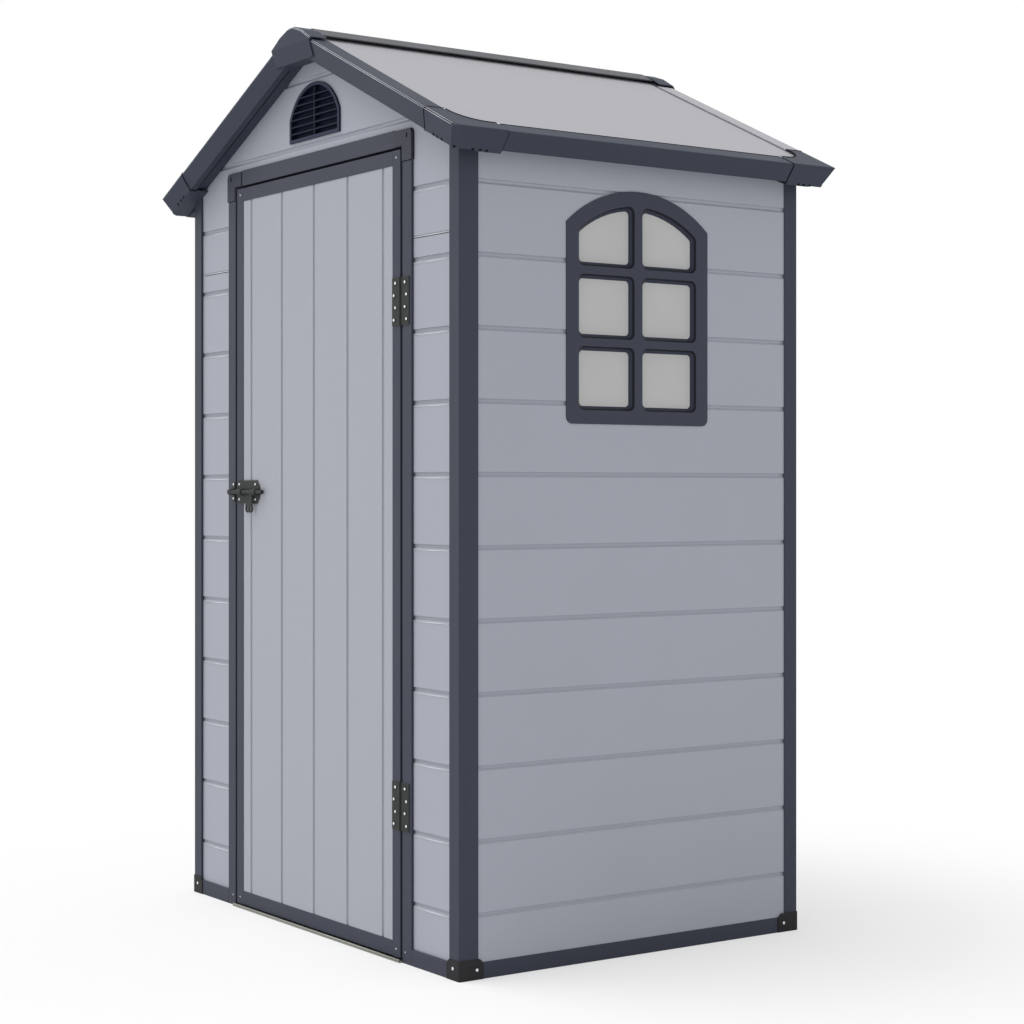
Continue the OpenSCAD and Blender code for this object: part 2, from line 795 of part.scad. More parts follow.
module leaf_rails() {
    color("#454957") {
        along_x(stile_w - leaf_x, leaf_x - stile_w) translate([leaf_y, door_top])
            rotate(-90) mirror([1, 0]) member_section(top_rail_h);
        along_x(stile_w - leaf_x, leaf_x - stile_w) translate([leaf_y, door_lift])
            rotate(-90) member_section(bottom_rail_h);
    }
}

// One butt hinge leaf about its pin at the origin; knuckles with the given places of five
module hinge_leaf(places, side) {
    pitch = hinge_h / 5;
    difference() {
        union() {
            translate([side > 0 ? hinge_r + knuckle_gap : -hinge_leaf_w, -hinge_leaf_t / 2, -hinge_h / 2])
                cube([hinge_leaf_w - hinge_r - knuckle_gap, hinge_leaf_t, hinge_h]);
            for (i = places) translate([0, 0, (i - 2.5) * pitch + knuckle_gap / 2]) {
                cylinder(h = pitch - knuckle_gap, r = hinge_r);
                translate([side > 0 ? 0 : -hinge_r - 2 * knuckle_gap, -hinge_leaf_t / 2, 0])
                    cube([hinge_r + 2 * knuckle_gap, hinge_leaf_t, pitch - knuckle_gap]);
            }
        }
        cylinder(h = hinge_h + 2 * cut, r = pin_d / 2 + pin_fit, center = true);
    }
}

module at_hinges() {
    for (z = [lower_hinge_z, upper_hinge_z]) translate([hinge_x, hinge_y, z]) children();
}

module frame_leaves() {
    color("#4a4c4a") at_hinges() hinge_leaf([0, 2, 4], 1);
}

module door_leaves() {
    color("#4a4c4a") at_hinges() hinge_leaf([1, 3], -1);
}

module pins() {
    color("#8b8d90") at_hinges() {
        cylinder(h = hinge_h + 2, d = pin_d, center = true);
        both_ends() translate([0, 0, hinge_h / 2 + knuckle_gap]) cylinder(h = 1.5, d = knuckle_d - 1);
    }
}

module both_ends() {
    children();
    mirror([0, 0, 1]) children();
}

// ---- Padbolt ----

// Strap over the rod between two places along X, standing on a face at y
module strap(x0, x1, y, bore_r) {
    r = bore_r + guide_wall;
    translate([0, bolt_y, bolt_z]) along_x(x0, x1) difference() {
        union() {
            circle(r);
            rect(0, -r, y - bolt_y, r);
        }
        circle(bore_r);
        rect(0, -bore_r, y - bolt_y + cut, bore_r);
    }
}

module padbolt_plate() {
    z0 = bolt_z - bolt_plate_h / 2;
    front = leaf_y - bolt_plate_t;
    eye_x = handle_x - bolt_travel;
    color("#45474a") {
        difference() {
            union() {
                block([plate_x, front, z0], [guide_end - 12, leaf_y, z0 + bolt_plate_h]);
                translate([guide_end - bolt_plate_h / 2, leaf_y, bolt_z]) rotate([90, 0, 0])
                    cylinder(h = bolt_plate_t, d = bolt_plate_h);
                block([eye_x - eye_d / 2, front, bolt_z - eye_drop], [eye_x + eye_d / 2, leaf_y, z0 + cut]);
                translate([eye_x, leaf_y, bolt_z - eye_drop]) rotate([90, 0, 0])
                    cylinder(h = bolt_plate_t, d = eye_d);
            }
            translate([eye_x, leaf_y, bolt_z - eye_drop]) rotate([90, 0, 0])
                cylinder(h = far, d = eye_hole_d, center = true);
        }
        for (guide = [near_guide, far_guide]) strap(guide[0], guide[1], front, bolt_d / 2 + bolt_fit);
    }
}

module bolt_rod() {
    eye_z = bolt_z - eye_drop;
    color("#55575a") {
        translate([bolt_tip, bolt_y, bolt_z]) rotate([0, 90, 0]) cylinder(h = bolt_l, d = bolt_d);
        difference() {
            union() {
                block([handle_x - handle_w / 2, bolt_y - handle_t / 2, eye_z],
                      [handle_x + handle_w / 2, bolt_y + handle_t / 2, bolt_z]);
                translate([handle_x, bolt_y + handle_t / 2, eye_z]) rotate([90, 0, 0])
                    cylinder(h = handle_t, d = eye_d);
            }
            translate([handle_x, bolt_y, eye_z]) rotate([90, 0, 0])
                cylinder(h = 2 * handle_t, d = eye_hole_d, center = true);
        }
    }
}

module bolt_keeper() {
    front = leaf_y - bolt_plate_t;
    inner = -jamb_x - 0.5;
    color("#45474a") {
        block([inner - 14, front, bolt_z - 23], [inner, leaf_y, bolt_z + 23]);
        strap(inner - 14, inner, front, bolt_d / 2 + bolt_fit);
    }
}

// ---- Window and vent ----

// Area of one pane at its face, in column side (-1 or 1) and row 0 to 2
module pane_area(side, row) {
    low = window_z + window_sill + row * (pane_h + window_bar);
    high = row < 2 ? low + pane_h : window_spring + window_rise;
    inner = window_mullion / 2;
    outer = window_w / 2 - window_border;
    intersection() {
        rect(side > 0 ? inner : -outer, low, side > 0 ? outer : -inner, high);
        window_outline(window_border, window_sill);
    }
}

module window_surround() {
    back = wall_x - panel_t - 2;
    color("#3c3f4d") {
        difference() {
            union() {
                at_window(wall_x, half_w) window_outline(0, 0, window_r);
                at_window(pane_x, wall_x) window_outline(collar_inset, collar_inset);
            }
            for (side = [-1, 1], row = [0 : 2]) hull() {
                at_window(half_w + slice, half_w + 2 * slice)
                    offset(r = pane_r, $fn = 32) offset(delta = -pane_r) pane_area(side, row);
                at_window(pane_x - 2 * slice, pane_x - slice)
                    offset(r = pane_back_r, $fn = 32) offset(delta = -pane_bevel - pane_back_r)
                    pane_area(side, row);
            }
        }
        at_window(back, pane_x) difference() {
            window_outline(collar_inset, collar_inset);
            window_outline(collar_inset + collar_t, collar_inset + collar_t);
        }
    }
}

module glazing() {
    edge = collar_inset + collar_t + collar_gap;
    color("#b4b5b6") at_window(pane_x - glazing_t, pane_x) window_outline(edge, edge);
}

module vent() {
    face = wall_y + vent_proud;
    mid = wall_y - 1;
    color("#2a2d3c") mirror([0, 1, 0]) {
        along_y(wall_y, face) difference() {
            vent_outline(0);
            vent_outline(vent_border);
        }
        along_y(wall_y - panel_t, wall_y) difference() {
            vent_outline(vent_border - vent_collar);
            vent_outline(vent_border);
        }
        intersection() {
            union() {
                for (i = [0 : slat_n - 1])
                    translate([0, mid, vent_z + vent_border + (i + 1) * slat_pitch])
                        rotate([-slat_tilt, 0, 0]) cube([vent_w, slat_d, slat_t], center = true);
                block([-vent_mullion / 2, mid - 4, vent_z], [vent_mullion / 2, mid + 4, vent_z + far]);
            }
            along_y(0, half_d) vent_outline(vent_border - cut);
        }
    }
}

// ---- Roof ----

// Frame of the right roof slope: X runs down the slope from the ridge, Z is square to it
module on_slope() {
    translate([0, 0, ridge_z]) rotate([0, roof_pitch, 0]) children();
}

module roof_panel() {
    color("#b7b7bc") on_slope()
        block([(web_half + web_gap) / cos(roof_pitch) - panel_n * roof_slope, roof_gap - verge_y, panel_n],
              [eave_s - fascia_gap, verge_y - roof_gap, -trim_t - seat_gap]);
}

// Groove in the middle of a verge's rounded edge, in YZ, on a face moved outwards by d
module edge_groove(d) {
    translate(mitred(verge_face, d)[1 + arc_steps / 2]) circle(groove_r);
}

module verge() {
    color("#6c7078") on_slope() along_x(40, corner_s) difference() {
        polygon(sheet(verge_path, 0, -trim_t));
        edge_groove(0);
    }
}

module eave() {
    color("#6c7078") along_y(corner_y - verge_y, verge_y - corner_y)
        polygon(sheet(eave_path(fascia_h), 0, -trim_t));
}

// All that the outside of an eave as high as the caps encloses, moved outwards by d
module eave_body(d, y0, low) {
    points = mitred(eave_path(cap_h), d);
    along_y(y0, verge_y + 10) polygon(concat([[wall_x - 150, roof_z(wall_x - 150, d)]], points,
        [[wall_x + seat_gap, low], [wall_x - 150, low]]));
}

// All that a verge's outside encloses, moved outwards by d
module verge_body(path, d, s0, low) {
    points = mitred(path, d);
    on_slope() along_x(s0, eave_s + 20) polygon(concat([[wall_y - 150, d]], points,
        [[wall_y + seat_gap, low], [wall_y - 150, low]]));
}

// What lies beyond the bevel between a corner cap's two faces, moved outwards by d
module beyond_bevel(d) {
    translate([roof_half, verge_y, eave_z]) rotate([0, -asin(bevel_n[2]), atan2(bevel_n[1], bevel_n[0])])
        translate([d - bevel_n[1] * bevel_y, -100, -100]) cube([100, 200, 200]);
}

// Corner cap: the shell where an eave and a verge meet, without the wall's own corner
module corner_cap() {
    flange_y = verge_y - verge_flange;
    inner = cap_proud - trim_t;
    color("#656972") difference() {
        intersection() {
            eave_body(cap_proud, verge_y - corner_y, eave_z - 150);
            verge_body(cap_path, cap_proud, corner_s, -150);
        }
        difference() {
            intersection() {
                eave_body(inner, verge_y - corner_y - 20, eave_z - 160);
                verge_body(cap_path, inner, corner_s - 20, -170);
            }
            beyond_bevel(inner);
        }
        beyond_bevel(cap_proud);
        on_slope() along_x(corner_s - cut, eave_s + 20) edge_groove(cap_proud);
        on_slope() upright(inner - cut, cap_proud + cut) {
            rect(corner_s - cut, 0, flange_s - corner_fillet, flange_y);
            rect(corner_s - cut, 0, flange_s, flange_y - corner_fillet);
            translate([flange_s - corner_fillet, flange_y - corner_fillet]) circle(corner_fillet);
        }
    }
}

module ridge() {
    top_path = [[-ridge_half, roof_z(ridge_half) + ridge_lift], [-ridge_flat, ridge_z + ridge_top],
                [ridge_flat, ridge_z + ridge_top], [ridge_half, roof_z(ridge_half) + ridge_lift]];
    low_path = [for (x = [-ridge_lower, 0, ridge_lower]) [x, wall_top(x)]];
    low_y = wall_y - panel_t - cut;
    web_top = ridge_z + ridge_top - trim_t + 0.5;
    color("#85888f") {
        along_y(-ridge_y, ridge_y) polygon(sheet(top_path, 0, -trim_t));
        block([-web_half, -ridge_y, wall_top(0)], [web_half, ridge_y, web_top]);
        block([-web_half, -low_y, wall_top(0) - trim_t], [web_half, low_y, web_top]);
        along_y(-low_y, low_y) polygon(sheet(low_path, 0, -trim_t));
    }
}

// Upper outline of a ridge cap, moved by d, its ends at half
function cap_top(d, half) = [
    [-half, roof_z(ridge_cap_half) + cap_end_lift + d], [-shoulder_x, roof_z(shoulder_x) + shoulder_lift + d],
    [-crest_x, ridge_z + crest_lift + d], [crest_x, ridge_z + crest_lift + d],
    [shoulder_x, roof_z(shoulder_x) + shoulder_lift + d], [half, roof_z(ridge_cap_half) + cap_end_lift + d]
];

// A ridge cap as a full block from y0 to its face, with the bevel along the face's upper edge
module cap_body(half, y0, low) {
    hull() {
        along_y(y0, cap_face - cap_edge_y)
            polygon(concat(cap_top(0, half), [[half, low], [-half, low]]));
        along_y(cap_face - slice, cap_face)
            polygon(concat(cap_top(-cap_edge_z, half), [[half, low], [-half, low]]));
    }
}

// Groove in the middle of the bevel, which it follows
module cap_groove() {
    middle = norm([cap_edge_y, cap_edge_z]) / 2;
    top = [for (p = cap_top(0, ridge_cap_half + cut)) [p[0], (p[1] - ridge_z) * cos(cap_edge_a)]];
    translate([0, cap_face - cap_edge_y, ridge_z]) rotate([-cap_edge_a, 0, 0])
        along_y(middle - groove_r, middle + groove_r) polygon(sheet(top, cut, -groove_r));
}

module ridge_cap() {
    low = ridge_z - ridge_cap_h;
    bend = roof_z(ridge_cap_half);
    lean = verge_lean / verge_h * (bend - low) * cos(roof_pitch);
    face_side = [[cap_face - lean, low], [cap_face, bend], [cap_face, far + 100], [0, far + 100]];
    color("#5a5e68") {
        difference() {
            intersection() {
                cap_body(ridge_cap_half, ridge_y, low);
                along_x(-far, far) polygon(concat([[0, low]], face_side));
            }
            intersection() {
                translate([0, -trim_t, -trim_t]) cap_body(ridge_cap_half + cut, ridge_y - cut, low - cut);
                along_x(-far, far) translate([-trim_t, 0])
                    polygon(concat([[0, low - cut], [cap_face - lean, low - cut]], face_side));
            }
            cap_groove();
        }
        cap_soffit(low, cap_face - lean);
    }
}

// Soffit between a ridge cap's lower edge at y and z and the wall, fitted under the verges
module cap_soffit(z, y) {
    back_z = z + cap_soffit_rise;
    difference() {
        along_x(-ridge_cap_half, ridge_cap_half) polygon([[wall_y + seat_gap, back_z], [y - trim_t, z],
            [y, z], [y, z + trim_t], [wall_y + seat_gap, back_z + trim_t]]);
        both_x() verge_body(verge_path, seat_gap, 0, -far);
    }
}

floor_plate();  // floor
threshold_plate();  // threshold
mirror([1, 0, 0]) front_rail();  // rail_front_left
front_rail();  // rail_front_right
mirror([1, 0, 0]) side_rail();  // rail_left
side_rail();  // rail_right
back_rail();  // rail_back
mirror([1, 0, 0]) front_post();  // post_front_left
front_post();  // post_front_right
mirror([1, 0, 0]) post(post_face);  // post_back_left
post(post_face);  // post_back_right
both_x() both_y() base_bracket();  // base_brackets
mirror([1, 0, 0]) front_strip();  // front_wall_left
front_strip();  // front_wall_right
front_gable_panel();  // front_gable
color("#989ba8") mirror([1, 0, 0]) side_panel();  // left_wall
right_panel();  // right_wall
back_lower_wall();  // back_wall
color("#9fa2ac") gable(gable_z);  // back_gable
mirror([1, 0, 0]) jamb();  // jamb_left
jamb();  // jamb_right
header_bar();  // door_header
stops();  // door_stops
both_x() elbow();  // header_elbows
leaf_panel();  // door_panel
both_x() stile();  // door_stiles
leaf_rails();  // door_rails
frame_leaves();  // hinge_frame_leaves
door_leaves();  // hinge_door_leaves
pins();  // hinge_pins
padbolt_plate();  // bolt_plate
bolt_rod();  // bolt
bolt_keeper();  // keeper
window_surround();  // window_frame
glazing();  // window_glazing
vent();  // gable_vent
mirror([1, 0, 0]) roof_panel();  // roof_panel_left
roof_panel();  // roof_panel_right
both_x() mirror([0, 1, 0]) verge();  // verges_front
both_x() verge();  // verges_back
both_x() eave();  // eaves
both_x() both_y() corner_cap();  // roof_corners
ridge();  // ridge_strip
both_y() ridge_cap();  // ridge_caps
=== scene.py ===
"""Looks of a plastic apex shed, built around its construction model.

Sizes are in millimetres and turn to metres where a mesh is made. The origin lies at the middle
of the plan on the ground; the door faces -Y and the window +X.
"""

import logging
import math
from abc import ABC, abstractmethod
from dataclasses import dataclass
from enum import Enum
from typing import Any, Iterable, Mapping, NamedTuple, Sequence

import bmesh
import bpy
import numpy as np
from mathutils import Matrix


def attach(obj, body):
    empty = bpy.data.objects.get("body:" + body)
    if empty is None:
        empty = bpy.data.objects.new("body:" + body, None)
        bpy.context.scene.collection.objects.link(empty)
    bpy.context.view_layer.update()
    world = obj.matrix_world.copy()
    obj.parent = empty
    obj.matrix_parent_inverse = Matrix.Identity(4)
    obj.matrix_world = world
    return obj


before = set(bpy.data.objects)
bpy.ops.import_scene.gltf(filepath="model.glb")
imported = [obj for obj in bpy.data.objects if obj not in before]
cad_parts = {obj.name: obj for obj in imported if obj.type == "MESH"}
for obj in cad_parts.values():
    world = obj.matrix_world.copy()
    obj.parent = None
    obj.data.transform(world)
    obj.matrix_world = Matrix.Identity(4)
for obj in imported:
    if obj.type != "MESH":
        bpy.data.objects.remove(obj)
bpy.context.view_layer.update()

LOG = logging.getLogger("apex_shed")
MM = 0.001
Vec = Sequence[float]
Array = np.ndarray
Points = Sequence[Vec] | Array
Tree, Node, Socket = bpy.types.NodeTree, bpy.types.Node, bpy.types.NodeSocket

ACROSS, ALONG, UP = (1.0, 0.0, 0.0), (0.0, 1.0, 0.0), (0.0, 0.0, 1.0)
OUT = (0.0, -1.0, 0.0)


# ---- Node and mesh tools ----

def linear(colour: str) -> tuple[float, float, float, float]:
    """Turns an sRGB hex colour to linear values.

    Args:
        colour: Six hex digits after a hash.

    Returns:
        Red, green, blue and an alpha of 1, where a channel c is c / 12.92 up to 0.04045 and
        ((c + 0.055) / 1.055) ** 2.4 above.
    """
    srgb = [int(colour[i:i + 2], 16) / 255 for i in (1, 3, 5)]
    rgb = [c / 12.92 if c <= 0.04045 else ((c + 0.055) / 1.055) ** 2.4 for c in srgb]
    return (*rgb, 1.0)


def add_node(tree: Tree, kind: str, inputs: Mapping[Any, Any] | None = None, **settings: Any) -> Node:
    """Adds a node with its settings, socket values and links.

    Args:
        tree: Node tree that takes the node.
        kind: Blender's name for the node's type.
        inputs: A value, or a socket to link from, for each input by name or number.
        **settings: Properties of the node.

    Returns:
        The new node.
    """
    node = tree.nodes.new(kind)
    for key, value in settings.items():
        setattr(node, key, value)
    for key, value in (inputs or {}).items():
        if isinstance(value, Socket):
            tree.links.new(value, node.inputs[key])
        else:
            node.inputs[key].default_value = value
    return node


def blank_tree(owner: bpy.types.Material | bpy.types.World) -> Tree:
    """Turns on a material's or a world's nodes and empties them."""
    owner.use_nodes = True
    owner.node_tree.nodes.clear()
    return owner.node_tree


class Surface(NamedTuple):
    """Points in millimetres, and the faces between them."""

    points: Array
    faces: list[tuple[int, ...]]


def unit(v: Vec) -> Array:
    """A vector's direction."""
    a = np.asarray(v, float)
    return a / np.linalg.norm(a)


def tube_faces(rows: int, columns: int) -> list[tuple[int, ...]]:
    """Faces of a grid that is closed along its columns, with both end rows filled.

    Args:
        rows: Number of rows.
        columns: Points in a row.

    Returns:
        Quads between neighbouring rows, and one face over each end.
    """
    i, j = np.meshgrid(np.arange(rows - 1), np.arange(columns), indexing="ij")
    k = (j + 1) % columns
    quads = np.stack([i * columns + j, i * columns + k, (i + 1) * columns + k, (i + 1) * columns + j], -1)
    ends = [tuple(range(columns))[::-1], tuple(range((rows - 1) * columns, rows * columns))]
    return [tuple(q) for q in quads.reshape(-1, 4).tolist()] + ends


def lathe(profile: Sequence[Vec], spokes: int) -> Surface:
    """Turns a profile about the Z axis: (r cos t, r sin t, z) for each (r, z) and angle t.

    Args:
        profile: Radius and height from the base up to the crown.
        spokes: Points around.

    Returns:
        The closed shape.
    """
    r, z = np.asarray(profile, float).T
    t = np.arange(spokes) * 2 * math.pi / spokes
    points = np.stack([np.outer(r, np.cos(t)), np.outer(r, np.sin(t)), np.outer(z, np.ones(spokes))], -1)
    return Surface(points.reshape(-1, 3), tube_faces(len(r), spokes))


def bead(path: Points, outward: Vec | Array, along: Vec | Array, radius: float, rise: float = 1.0,
         steps: int = 6) -> Surface:
    """Carries a half-round along a path that lies on a surface.

    A point is path + radius * (along * cos t + outward * rise * sin t), with t from 0 to pi.

    Args:
        path: Points on the surface.
        outward: The surface's normal, or one for each point.
        along: Direction on the surface square to the path, or one for each point.
        radius: Half the bead's width.
        rise: Its height, as a share of the radius.
        steps: Pieces of the half-round.

    Returns:
        The closed bead, its flat side on the surface.
    """
    path = np.asarray(path, float)
    across, lift = (np.broadcast_to(v, path.shape)[:, None] for v in (along, outward))
    t = np.linspace(0, math.pi, steps + 1)[None, :, None]
    points = path[:, None] + radius * (across * np.cos(t) + lift * rise * np.sin(t))
    return Surface(points.reshape(-1, 3), tube_faces(len(path), steps + 1))


def at_y(outline: Points, y: float) -> Array:
    """An outline of x and z as points in space at one y."""
    return np.insert(np.asarray(outline, float), 1, y, axis=1)


def basis(normal: Vec, up: Vec = UP) -> Array:
    """Rows of a frame whose Z points along normal and whose Y leans towards up."""
    z = unit(normal)
    x = unit(np.cross(up, z))
    return np.stack([x, np.cross(z, x), z])


def repeat(shape: Surface, origins: Points, axes: Array) -> Surface:
    """Sets copies of a shape at many places.

    A copy's point is origin + x * axis_x + y * axis_y + z * axis_z.

    Args:
        shape: The shape about the origin.
        origins: Place of each copy.
        axes: Frame of each copy, or one frame for all.

    Returns:
        All the copies as one surface.
    """
    origins = np.asarray(origins, float)
    axes = np.broadcast_to(axes, (len(origins), 3, 3))
    points = origins[:, None] + np.einsum("pa,kab->kpb", shape.points, axes)
    count = len(shape.points)
    faces = [tuple(i + k * count for i in f) for k in range(len(origins)) for f in shape.faces]
    return Surface(points.reshape(-1, 3), faces)


def join(shapes: Iterable[Surface]) -> Surface:
    """Several surfaces as one."""
    points, faces, start = [], [], 0
    for shape in shapes:
        points.append(shape.points)
        faces += [tuple(i + start for i in f) for f in shape.faces]
        start += len(shape.points)
    return Surface(np.concatenate(points), faces)


def mirrored(shape: Surface, *axes: int) -> Surface:
    """A surface with its mirror images across the planes where each of the axes is 0."""
    for axis in axes:
        flip = 1.0 - 2.0 * (np.arange(3) == axis)
        shape = join([shape, Surface(shape.points * flip, [f[::-1] for f in shape.faces])])
    return shape


def offset_path(path: Array, distance: float) -> Array:
    """Moves a path to its left by a distance, with mitred corners."""
    step = np.diff(path, axis=0)
    left = np.stack([-step[:, 1], step[:, 0]], 1) / np.linalg.norm(step, axis=1)[:, None]
    a = np.concatenate([left[:1], left])
    b = np.concatenate([left, left[-1:]])
    return path + distance * (a + b) / (1 + (a * b).sum(1))[:, None]


def path_normals(path: Array) -> Array:
    """Unit normal on the left of a path at each of its points."""
    return (n := offset_path(path, 1.0) - path) / np.linalg.norm(n, axis=1)[:, None]


def fillet(a: Vec, b: Vec, c: Vec, radius: float, steps: int = 4) -> Array:
    """Points of the arc that rounds the corner b between a and c."""
    a, b, c = (np.asarray(p, float) for p in (a, b, c))
    u, v = unit(a - b), unit(c - b)
    half = math.acos(u @ v) / 2
    middle = b + unit(u + v) * radius / math.sin(half)
    start, end = (b + w * radius / math.tan(half) - middle for w in (u, v))
    first, last = (math.atan2(w[1], w[0]) for w in (start, end))
    t = np.linspace(first, last, steps + 1)
    return middle + radius * np.stack([np.cos(t), np.sin(t)], 1)


def make_piece(name: str, shape: Surface, finish: "Finish", body: str,
               smooth: bool = True) -> bpy.types.Object:
    """Makes a new piece of the visual model.

    Args:
        name: Name of the piece.
        shape: Its surface in millimetres, in place.
        finish: Its finish.
        body: The moving body that it rides on.
        smooth: Whether its faces shade into each other.

    Returns:
        The object, at the origin.
    """
    mesh = bpy.data.meshes.new(name)
    mesh.from_pydata((shape.points * MM).tolist(), [], shape.faces)
    shell = bmesh.new()
    shell.from_mesh(mesh)
    bmesh.ops.recalc_face_normals(shell, faces=shell.faces)
    shell.to_mesh(mesh)
    shell.free()
    mesh.polygons.foreach_set("use_smooth", [smooth] * len(mesh.polygons))
    mesh.materials.append(finish.material())
    piece = bpy.data.objects.new(name, mesh)
    bpy.context.scene.collection.objects.link(piece)
    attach(piece, body)
    LOG.info("piece %s: %d faces on %s", name, len(shape.faces), body)
    return piece


def dress(finish: "Finish", *nodes: str) -> None:
    """Gives construction nodes their finish.

    Args:
        finish: The finish.
        *nodes: Names of the nodes.
    """
    for name in nodes:
        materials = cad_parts[name].data.materials
        materials.clear()
        materials.append(finish.material())
        LOG.info("node %s: %s", name, finish.name)


# ---- Finishes ----

NOISE_LOW, NOISE_HIGH = 0.3, 0.7


class Grain(Enum):
    """Direction of the lines that a tool leaves in a profile, as stretch per axis."""

    NONE = (1.0, 1.0, 1.0)
    ALONG_X = (0.012, 1.0, 1.0)
    ALONG_Y = (1.0, 0.012, 1.0)
    ALONG_Z = (1.0, 1.0, 0.012)


@dataclass(frozen=True)
class Finish(ABC):
    """A material with its colour and gloss; a subclass adds its pattern."""

    name: str
    colour: str
    roughness: float
    specular: float = 0.5

    def material(self) -> bpy.types.Material:
        """The finish as a Blender material, made once."""
        made = bpy.data.materials.get(self.name)
        if made is None:
            made = bpy.data.materials.new(self.name)
            made.diffuse_color = linear(self.colour)
            tree = blank_tree(made)
            shader = add_node(tree, "ShaderNodeBsdfPrincipled", {
                "Base Color": linear(self.colour), "Roughness": self.roughness,
                "Specular IOR Level": self.specular})
            add_node(tree, "ShaderNodeOutputMaterial", {"Surface": shader.outputs[0]})
            self.pattern(tree, shader, add_node(tree, "ShaderNodeTexCoord").outputs["Object"])
        return made

    @abstractmethod
    def pattern(self, tree: Tree, shader: Node, place: Socket) -> None:
        """Adds the finish's own nodes.

        Args:
            tree: The material's node tree.
            shader: Its Principled BSDF.
            place: Object coordinates, in metres.
        """

    def vary_tone(self, tree: Tree, shader: Node, noise: Socket, swing: float) -> None:
        """Lets a noise make the base colour lighter and darker.

        Args:
            tree: The material's node tree.
            shader: Its Principled BSDF.
            noise: The noise, mostly between NOISE_LOW and NOISE_HIGH.
            swing: Share of the colour that it gains or loses.
        """
        shade = add_node(tree, "ShaderNodeMapRange", {
            "Value": noise, "From Min": NOISE_LOW, "From Max": NOISE_HIGH,
            "To Min": 1 - swing, "To Max": 1 + swing})
        colour = add_node(tree, "ShaderNodeVectorMath", {
            0: linear(self.colour)[:3], "Scale": shade.outputs[0]}, operation="SCALE")
        tree.links.new(colour.outputs[0], shader.inputs["Base Color"])

    def vary_gloss(self, tree: Tree, shader: Node, noise: Socket, less: float, more: float) -> None:
        """Lets a noise take the roughness down by less and up by more, as vary_tone does the tone."""
        gloss = add_node(tree, "ShaderNodeMapRange", {
            "Value": noise, "From Min": NOISE_LOW, "From Max": NOISE_HIGH,
            "To Min": self.roughness - less, "To Max": self.roughness + more})
        tree.links.new(gloss.outputs[0], shader.inputs["Roughness"])

    @staticmethod
    def tint(tree: Tree, shader: Node, share: Socket, colour: str) -> None:
        """Mixes a colour into what the shader's base colour is so far.

        Args:
            tree: The material's node tree.
            shader: Its Principled BSDF.
            share: Share of the new colour, from 0 to 1.
            colour: The new colour.
        """
        base = shader.inputs["Base Color"]
        own = base.links[0].from_socket if base.is_linked else tuple(base.default_value)
        mix = add_node(tree, "ShaderNodeMix", {0: share, 6: own, 7: linear(colour)}, data_type="RGBA")
        tree.links.new(mix.outputs[2], base)


@dataclass(frozen=True)
class MouldedPlastic(Finish):
    """Moulded or extruded plastic.

    The eye gets a satin face with a fine stipple from the mould, slow shifts in tone where
    the melt cooled unevenly, faint die lines along extruded profiles, and soft edges. The real
    stipple, about 0.2 mm, and die lines, about 1 mm, are drawn coarser so that they show.
    """

    tone_share: float = 0.05
    tone_mm: float = 240.0
    stipple_mm: float = 2.2
    stipple_depth: float = 0.03
    lines: Grain = Grain.NONE
    lines_mm: float = 7.0
    edge_mm: float = 0.9

    def pattern(self, tree: Tree, shader: Node, place: Socket) -> None:
        """Adds tone, die lines, stipple and soft edges."""
        tone = add_node(tree, "ShaderNodeTexNoise", {
            "Vector": place, "Scale": 1 / (self.tone_mm * MM), "Detail": 3.0, "Roughness": 0.55})
        stretched = add_node(tree, "ShaderNodeMapping", {"Vector": place, "Scale": self.lines.value})
        line = add_node(tree, "ShaderNodeTexNoise", {
            "Vector": stretched.outputs[0], "Scale": 1 / (self.lines_mm * MM), "Detail": 2.0})
        both = add_node(tree, "ShaderNodeMix", {
            "Factor": 0.15 if self.lines is Grain.NONE else 0.35,
            2: tone.outputs[0], 3: line.outputs[0]}, data_type="FLOAT")
        self.vary_tone(tree, shader, both.outputs[0], self.tone_share)
        self.vary_gloss(tree, shader, tone.outputs[0], 0.04, 0.04)
        edge = add_node(tree, "ShaderNodeBevel", {"Radius": self.edge_mm * MM}, samples=4)
        stipple = add_node(tree, "ShaderNodeTexNoise", {
            "Vector": place, "Scale": 1 / (self.stipple_mm * MM), "Detail": 2.0})
        bump = add_node(tree, "ShaderNodeBump", {
            "Strength": 0.35, "Distance": self.stipple_depth * MM,
            "Height": stipple.outputs[0], "Normal": edge.outputs[0]})
        tree.links.new(bump.outputs[0], shader.inputs["Normal"])


@dataclass(frozen=True)
class RecessedPlastic(MouldedPlastic):
    """Moulded plastic with openings whose sides lie behind its face.

    The eye gets the profile's own face; a nearly black arris just behind it and darker
    sides are painted shade, for recesses that light hardly enters.
    """

    outwards: tuple[float, float, float] = (1.0, 0.0, 0.0)
    face: float = 600.0
    side_shade_colour: str = "#313544"
    arris_start: float = 0.5
    arris: float = 4.6
    arris_shade_colour: str = "#0e101c"
    fade: float = 0.4

    def pattern(self, tree: Tree, shader: Node, place: Socket) -> None:
        """Adds the arris's and the sides' painted shade, by how far out a point lies."""
        super().pattern(tree, shader, place)
        out = add_node(tree, "ShaderNodeVectorMath", {0: place, 1: self.outwards}, operation="DOT_PRODUCT")
        # Painted shade: behind the face, the arris and then the sides darken by depth alone.
        for depth, colour in ((self.arris_start, self.arris_shade_colour), (self.arris, self.side_shade_colour)):
            behind = add_node(tree, "ShaderNodeMapRange", {
                "Value": out.outputs["Value"], "From Min": (self.face - depth - self.fade) * MM,
                "From Max": (self.face - depth) * MM, "To Min": 1.0, "To Max": 0.0})
            self.tint(tree, shader, behind.outputs[0], colour)


